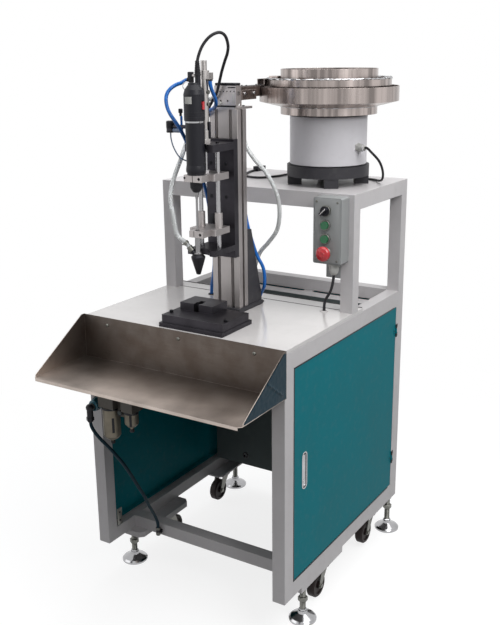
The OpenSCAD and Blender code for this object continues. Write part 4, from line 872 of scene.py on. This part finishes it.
CYLINDER_Y = -130.5
port = slab((-48.5, -136.5, 1484.5), (-35.5, -124.5, 1511.6), 1.6)
collars = [
    stood(ring(6.9, 5.1, 0, 3.4, 24), (-48, CYLINDER_Y, 1491), LEFT),
    stood(ring(6.9, 5.1, 0, 3.4, 24), (19, CYLINDER_Y, 1493), DOWN),
    stood(ring(6.6, 4.4, 0, 6, 6, 0.4), (-14.5, CYLINDER_Y, 1502), LEFT),
]
finished(joined(port, *collars), "cylinder_elbows", "black_plastic")
sensor = slab((10.2, -134.5, 1343), (15.6, -126.5, 1386), 0.8)
strap = stood(ring(11.6, 10.6, 0, 7, 36, 0.3), (0, CYLINDER_Y, 1361))
finished(sensor, "cylinder_sensor", "black_plastic")
finished(strap, "sensor_strap", "tool_steel")
nut = turned([(5.8, 0), (5.8, 3.6), (4.9, 4.2)], 6)
nuts = set_out(nut, [(10.4, CYLINDER_Y, z) for z in (1461, 1431)], RIGHT)
finished(nuts, "cylinder_port_nuts", "zinc")

FLOW_Y = -146.5
knob = [(9.6, 0), (11.4, 1), (11.4, 5), (10.2, 6.5), (10.2, 10), (11.6, 12), (11.6, 28), (9, 31)]
knob = stood(turned(knob, 28), (-101, FLOW_Y, 1355.5))
cap = stood(turned([(3.4, 0), (3.4, 8), (5.8, 9), (5.8, 18), (4.4, 19.5)], 20), (-66.5, FLOW_Y, 1399))
finished(joined(knob, cap), "flow_control_knobs", "black_plastic")
stub = turned([(3.0, 0), (3.0, 12), (3.4, 14), (3.4, 20), (3.0, 22), (3.0, 24)], 20)
finished(stood(stub, (-64.5, FLOW_Y, 1375.6)), "flow_control_stub", "blue_tube")
sight = stood(turned([(6.4, 0), (6.4, 26), (5.2, 27.5)], 24), (-64, FLOW_Y, 1362), LEFT)
finished(sight, "flow_control_sight", "signal_tube")

# Driver and nozzle

DRIVER, CABLE_EXIT = (0, -177.5, 0), (6, -167.5, 0)
light_ring = ring(24.9, 22.6, 1386.2, 1391.8, 48, 0.8)
finished(stood(light_ring, DRIVER), "driver_light_ring", "chrome", "driver_carriage")
boss = stood(turned([(3.6, -2), (3.6, 2.2), (2.8, 3.0)], 20), (22.6, -185.0, 1389), (0.95, -0.31, 0))
finished(boss, "driver_ring_boss", "tool_steel", "driver_carriage")
plate = arc_plate(26.8, 0.7, 1434.5, 1452, -113, -68, DRIVER[:2])
finished(plate, "driver_bare_plate", "grey_plastic", "driver_carriage")
flare = turned([(23.1, 1258), (25.6, 1262), (25.6, 1268), (24.4, 1277), (22.8, 1282)], 48)
seams = [ring(27.35, 26.4, z, z + 1.4, 48, 0.3) for z in (1400, 1406, 1412, 1456)]
finished(stood(joined(flare, *seams), DRIVER), "driver_grip_bands", "black_plastic", "driver_carriage")
bail = [(9.2, -1.3), (10.4, -0.7), (10.9, 0.0), (10.4, 0.7), (9.2, 1.3), (8.6, 0.0)]
bail = stood(turned(bail, 40, hollow=True), (-17.5, -184, 1478), (0.55, -0.83, 0.1))
finished(bail, "driver_hanging_loop", "hard_chrome", "driver_carriage")

RELIEF_FOOT, RELIEF_PITCH, RELIEF_RADIUS, RELIEF_TAPER, RELIEF_GROOVE = 1508.5, 4.4, 7.9, 0.38, 0.9
relief = [(8.4, 1503), (8.4, 1507)]
for step in range(7):
    wide, foot = RELIEF_RADIUS - RELIEF_TAPER * step, RELIEF_FOOT + RELIEF_PITCH * step
    relief += [(wide - RELIEF_GROOVE, foot), (wide, foot + 0.5), (wide, foot + 3.1)]
relief = stood(turned(relief + [(4.6, 1540)], 28), CABLE_EXIT)
finished(relief, "driver_cable_relief", "black_rubber", "driver_carriage")
rib = slab((15.1, -0.8, 1219.5), (16.1, 0.8, 1234), 0.25)
finished(set_round(rib, 28, DRIVER), "torque_collar_ribs", "black_plastic", "torque_collar")

JAW_X, JAW_FACE = 20, -189.5
jaw_screw = set_out(cap_screw(3.8, 4), [(JAW_X, JAW_FACE, 1244)], FRONT)
side_screw = set_out(cap_screw(3.2, 0.9), [(-25, -194.9, 1245.5)], FRONT)
finished(joined(jaw_screw, side_screw), "driver_clamp_screws", "black_oxide", "driver_carriage")
jaw_screw = set_out(cap_screw(3.8, 4), [(JAW_X, JAW_FACE, 1097.5)], FRONT)
finished(jaw_screw, "nozzle_clamp_screw", "black_oxide", "nozzle_carriage")

NOZZLE_RADIUS = 7.02
sleeve = ring(7.8, NOZZLE_RADIUS, 1046, 1088.6, 32, 0.3)
foot = [(10.6, 1041.2), (11.2, 1042), (11.2, 1045), (9.6, 1046.5)]
foot = turned([(NOZZLE_RADIUS, 1041.2), *foot, (NOZZLE_RADIUS, 1046.5)], 32, hollow=True)
finished(stood(joined(sleeve, foot), DRIVER), "nozzle_sleeve", "tool_steel", "nozzle_carriage")
HOSE_END, HOSE_CLIP = (-19.2, -183.9, 1054.8), (-31.2, -187.9, 1070.3)
crimp = stood(ring(8.2, 6.84, -7, 8, 28, 0.8), HOSE_END, (-0.6, -0.2, 0.775))
clip = stood(ring(7.8, 6.1, -4, 4, 28, 0.6), HOSE_CLIP, (-34, -11, 34.9))
screw = stood(turned([(2.4, 0), (2.4, 8), (1.8, 8.6)], 16), (-38, -187.5, 1069), (-0.7, 0.2, -0.6))
finished(joined(crimp, clip, screw), "screw_hose_crimp", "zinc", "nozzle_carriage")

# Escapement and feeder

ESCAPEMENT_FACE = -40.4
rail = slab((-28, -41.5, 1474), (38.6, -15.5, 1481), 2.4, 3)
foot = slab((-27, -44.3, 1417.6), (38.4, -40.2, 1422.6), 0.6)
finished(joined(rail, foot), "escapement_rail", "black_oxide")
pin = turned([(1.7, 0), (1.7, 0.5), (1.3, 0.6)], 16)
pins = set_out(pin, [(x, ESCAPEMENT_FACE, 1459) for x in (-11.6, -0.4, 10.8, 22.0, 33.2)], FRONT)
slit = slab((14, -41.0, 1467.6), (38, -40.2, 1470.4), 0.3)
finished(joined(pins, slit), "escapement_marks", "black_oxide")
strip = slab((29.6, -41.6, 1429.5), (33.2, -40.2, 1454), 0.5)
nipple = turned([(3.6, 0), (3.6, 2.4), (2.6, 3), (2.6, 6)], 18)
nipple = stood(nipple, (-10.5, ESCAPEMENT_FACE, 1428.5), FRONT)
finished(joined(strip, nipple), "escapement_strip", "grey_plastic")
places = [(x, 10.5, 1418) for x in (-22, 30)]
finished(set_out(cap_screw(3.4, 3.2), places), "escapement_screws", "black_oxide")

TRACK_SIDES, GUIDE_HALF = (-7.2, 7.2), 2.9
guides = [slab((x - GUIDE_HALF, -13, 1467.6), (x + GUIDE_HALF, 147, 1470.4), 0.5) for x in TRACK_SIDES]
finished(joined(*guides), "track_guides", "tool_steel")
places = [(x, y, 1470.3) for x in TRACK_SIDES for y in (-6, 62, 138)]
finished(set_out(cap_screw(2.4, 2.0), places), "track_guide_screws", "black_oxide")
places = [(12.9, y, 1450) for y in (43.5, 92)]
finished(set_out(cap_screw(4.2, 3.4), places, RIGHT), "track_block_screws", "chrome")

gasket = stood(ring(113.6, 111.7, 1381.8, 1386.9, 96, 0.8), FEEDER)
finished(gasket, "drum_gasket", "black_rubber")
bead = stood(ring(114.4, 111.7, 1243.2, 1246.6, 96, 0.9), FEEDER)
finished(bead, "drum_base_bead", "black_rubber")
nut = turned([(12.4, 111.5), (12.4, 118.5), (11.2, 120)], 6)
dome = turned([(10.4, 119.5), (10.4, 128), (9.2, 133), (6.6, 138), (5.0, 138.5)], 28)
GLAND_HEIGHT, GLAND_DIRECTION = 1297, (0.9659, -0.2588, 0)
gland = stood(joined(nut, dome), (*FEEDER[:2], GLAND_HEIGHT), GLAND_DIRECTION)
finished(gland, "drum_cable_gland", "grey_plastic")
hub = joined(hex_bolt(9.0, 8.0), turned([(24, -0.8), (24, 1.2), (20, 2.2), (8, 2.4)], 36))
finished(stood(hub, (*FEEDER[:2], 1412.6)), "bowl_centre_bolt", "zinc", "feed_bowl")


def weld_bead(radius, height, thick, seed):
    """A weld bead: a slim ring with an uneven skin."""
    bpy.ops.object.select_all(action="DESELECT")
    bpy.ops.mesh.primitive_torus_add(
        major_radius=radius * MM, minor_radius=thick * MM, major_segments=280, minor_segments=8,
        location=(0, 0, height * MM),
    )
    bead = bpy.context.object
    edit_all()
    bpy.ops.transform.vertex_random(offset=thick * MM * 1.1, seed=seed)
    bpy.ops.mesh.vertices_smooth(factor=0.25, repeat=1)
    bpy.ops.object.mode_set(mode="OBJECT")
    bpy.ops.object.transform_apply(location=True, rotation=True, scale=True)
    return bead


beads = [weld_bead(139.8, 1408.6, 1.4, 3), weld_bead(139.8, 1466.2, 2.4, 5), weld_bead(177, 1486, 2.4, 7)]
finished(stood(joined(*beads), FEEDER), "bowl_weld_beads", "chrome", "feed_bowl")

# Control box

CONTROL_X, BEZEL_SEAT, BUTTON_SEAT, BOX_GLAND = 264.5, 51.2, 51.5, (281, 71.5, 0)
SELECTOR_Z, UPPER_Z, LOWER_Z, STOP_Z = 1145, 1106, 1068, 1028.5

plate = slab((230, 50.9, 1002), (305, 51.6, 1175), 0.3)
for height, radius in ((SELECTOR_Z, 13.4), (UPPER_Z, 11.8), (LOWER_Z, 11.8), (STOP_Z, 13.4)):
    drill = stood(turned([(radius, -2), (radius, 2)], 40), (CONTROL_X, BEZEL_SEAT, height), FRONT)
    plate = cut(plate, drill)
finished(plate, "control_face_plate", "box_paint")
plate = slab((242, 101.5, 948), (286.6, 104, 1145), 0.5)
finished(plate, "control_back_plate", "box_paint")
places = [(x, 51.0, z) for x in (236, 299) for z in (1008, 1169)]
finished(set_out(pan_screw(3.2, 1.8), places, FRONT), "control_face_screws", "zinc")
bezels = [
    stood(ring(outer, inner, 0, rise, 36, soft), (CONTROL_X, BEZEL_SEAT, height), FRONT)
    for outer, inner, rise, soft, height in (
        (15.0, 11.5, 6.9, 1.0, UPPER_Z), (15.0, 11.5, 6.9, 1.0, LOWER_Z),
        (15.2, 13.4, 6.9, 0.8, SELECTOR_Z), (17.4, 14.1, 4.2, 1.2, STOP_Z),
    )
]
finished(joined(*bezels), "control_bezels", "zinc")
line = slab((-1.2, -11.6, 23.6), (1.2, 11.6, 24.6), 0.3)
line = stood(line, (CONTROL_X, BUTTON_SEAT, SELECTOR_Z), FRONT, turn=-45)
finished(line, "selector_line", "table_paint", "selector")
for height, body in ((UPPER_Z, "upper_start"), (LOWER_Z, "lower_start")):
    dish = turned([(9.6, 10.4), (9.6, 11.2), (8.6, 11.7), (3.0, 11.2)], 32)
    dish = stood(dish, (CONTROL_X, BUTTON_SEAT, height), FRONT)
    finished(dish, body + "_lens", "green_plastic", body)
crown = turned([(8.8, 24.9), (8.0, 25.7), (5.4, 25.9), (3.0, 25.4)], 32)
crown = stood(crown, (CONTROL_X, BUTTON_SEAT, STOP_Z), FRONT)
finished(crown, "stop_button_crown", "red_plastic", "stop")
nut = turned([(16.0, 996.9), (16.0, 988.5), (14.6, 987)], 6)
dome = turned([(13.8, 987.4), (13.8, 979), (12.0, 972), (8.4, 966), (5.4, 964.6)], 28)
gland = stood(joined(nut, dome), BOX_GLAND)
finished(gland, "control_cable_gland", "grey_plastic")

# Air unit and fixture

AIR_Y, FILTER_X, OILER_X = -308.5, -223, -150
GAUGE_X, GAUGE_Z, VALVE, INLET, BRACKET_FACE = -183, 594, (-273, -302.9, 600), (-273, -342, 0), -281.4

slots = [
    arc_plate(24.8, 0.6, 531, 576, -49, -33, (FILTER_X, AIR_Y)),
    arc_plate(19.8, 0.6, 564, 600, -68, -49, (OILER_X, AIR_Y)),
]
finished(joined(*slots), "bowl_sight_slots", "black_plastic")
drains = [
    stood(turned([(5.2, 0), (6.8, 2), (6.8, 8), (5.6, 9.5)], 16), (x, AIR_Y, z), DOWN)
    for x, z in ((FILTER_X, 499.5), (OILER_X, 550.5))
]
bands = [
    stood(ring(radius + 1.0, radius - 0.4, 0, 6, 36), (x, AIR_Y, 597.6))
    for x, radius in ((FILTER_X, 25), (OILER_X, 20))
]
finished(joined(*drains, *bands), "bowl_drains", "black_plastic")
rim = stood(ring(8.6, 6.4, 0, 2.2, 32, 0.5), (GAUGE_X, -318.8, GAUGE_Z), FRONT)
finished(rim, "gauge_rim", "black_plastic")
face = stood(turned([(6.5, 0), (6.5, 0.7), (5.8, 0.9)], 28), (GAUGE_X, -319.3, GAUGE_Z), FRONT)
finished(face, "gauge_face", "dark_paint")
rib = slab((19.5, -1.2, 3), (20.7, 1.2, 26), 0.3)
finished(set_round(rib, 24, (FILTER_X, AIR_Y, 662.4)), "regulator_ribs", "black_plastic", "regulator")
rib = slab((15.5, -1.4, 3), (16.7, 1.4, 24), 0.3)
finished(set_round(rib, 16, VALVE, FRONT), "valve_ribs", "valve_teal", "valve_lever")
nut = turned([(11.5, 562), (11.5, 571), (10.2, 572.4)], 6)
release = ring(7.8, 5.1, 557, 562.4, 28, 0.8)
shell = ring(9.1, 8.55, 572, 594, 32, 0.25)
bend = [(6.0, 590.6), (8.6, 592.6), (10.6, 596), (11.1, 600), (10.6, 604), (8.4, 607.4), (4.6, 610)]
fitting = stood(joined(nut, release, shell, turned(bend, 32)), INLET)
finished(fitting, "inlet_fitting", "black_plastic")
places = [(-305, BRACKET_FACE, 628), (-183, BRACKET_FACE, 641)]
finished(set_out(cap_screw(3.6, 3.6), places, FRONT), "air_bracket_screws", "zinc")

places = [(x, -228.5, 877.2) for x in (-58, 118)]
finished(set_out(cap_screw(5.2, 13), places), "fixture_screws", "black_oxide")
seat = stood(ring(10.6, 8.0, 0, 1.6, 36, 0.4), (*DRIVER[:2], 860))
finished(seat, "nest_seat_ring", "tool_steel")

# Plug

PLUG = (-187, -166.5, 0)
knurls = [stood(ring(7.4, 6.3, z, z + 3, 20), PLUG) for z in (136, 141, 153, 157)]
finished(joined(*knurls), "inlet_plug_rings", "zinc")

# View transform

bpy.context.scene.view_settings.view_transform = "Standard"
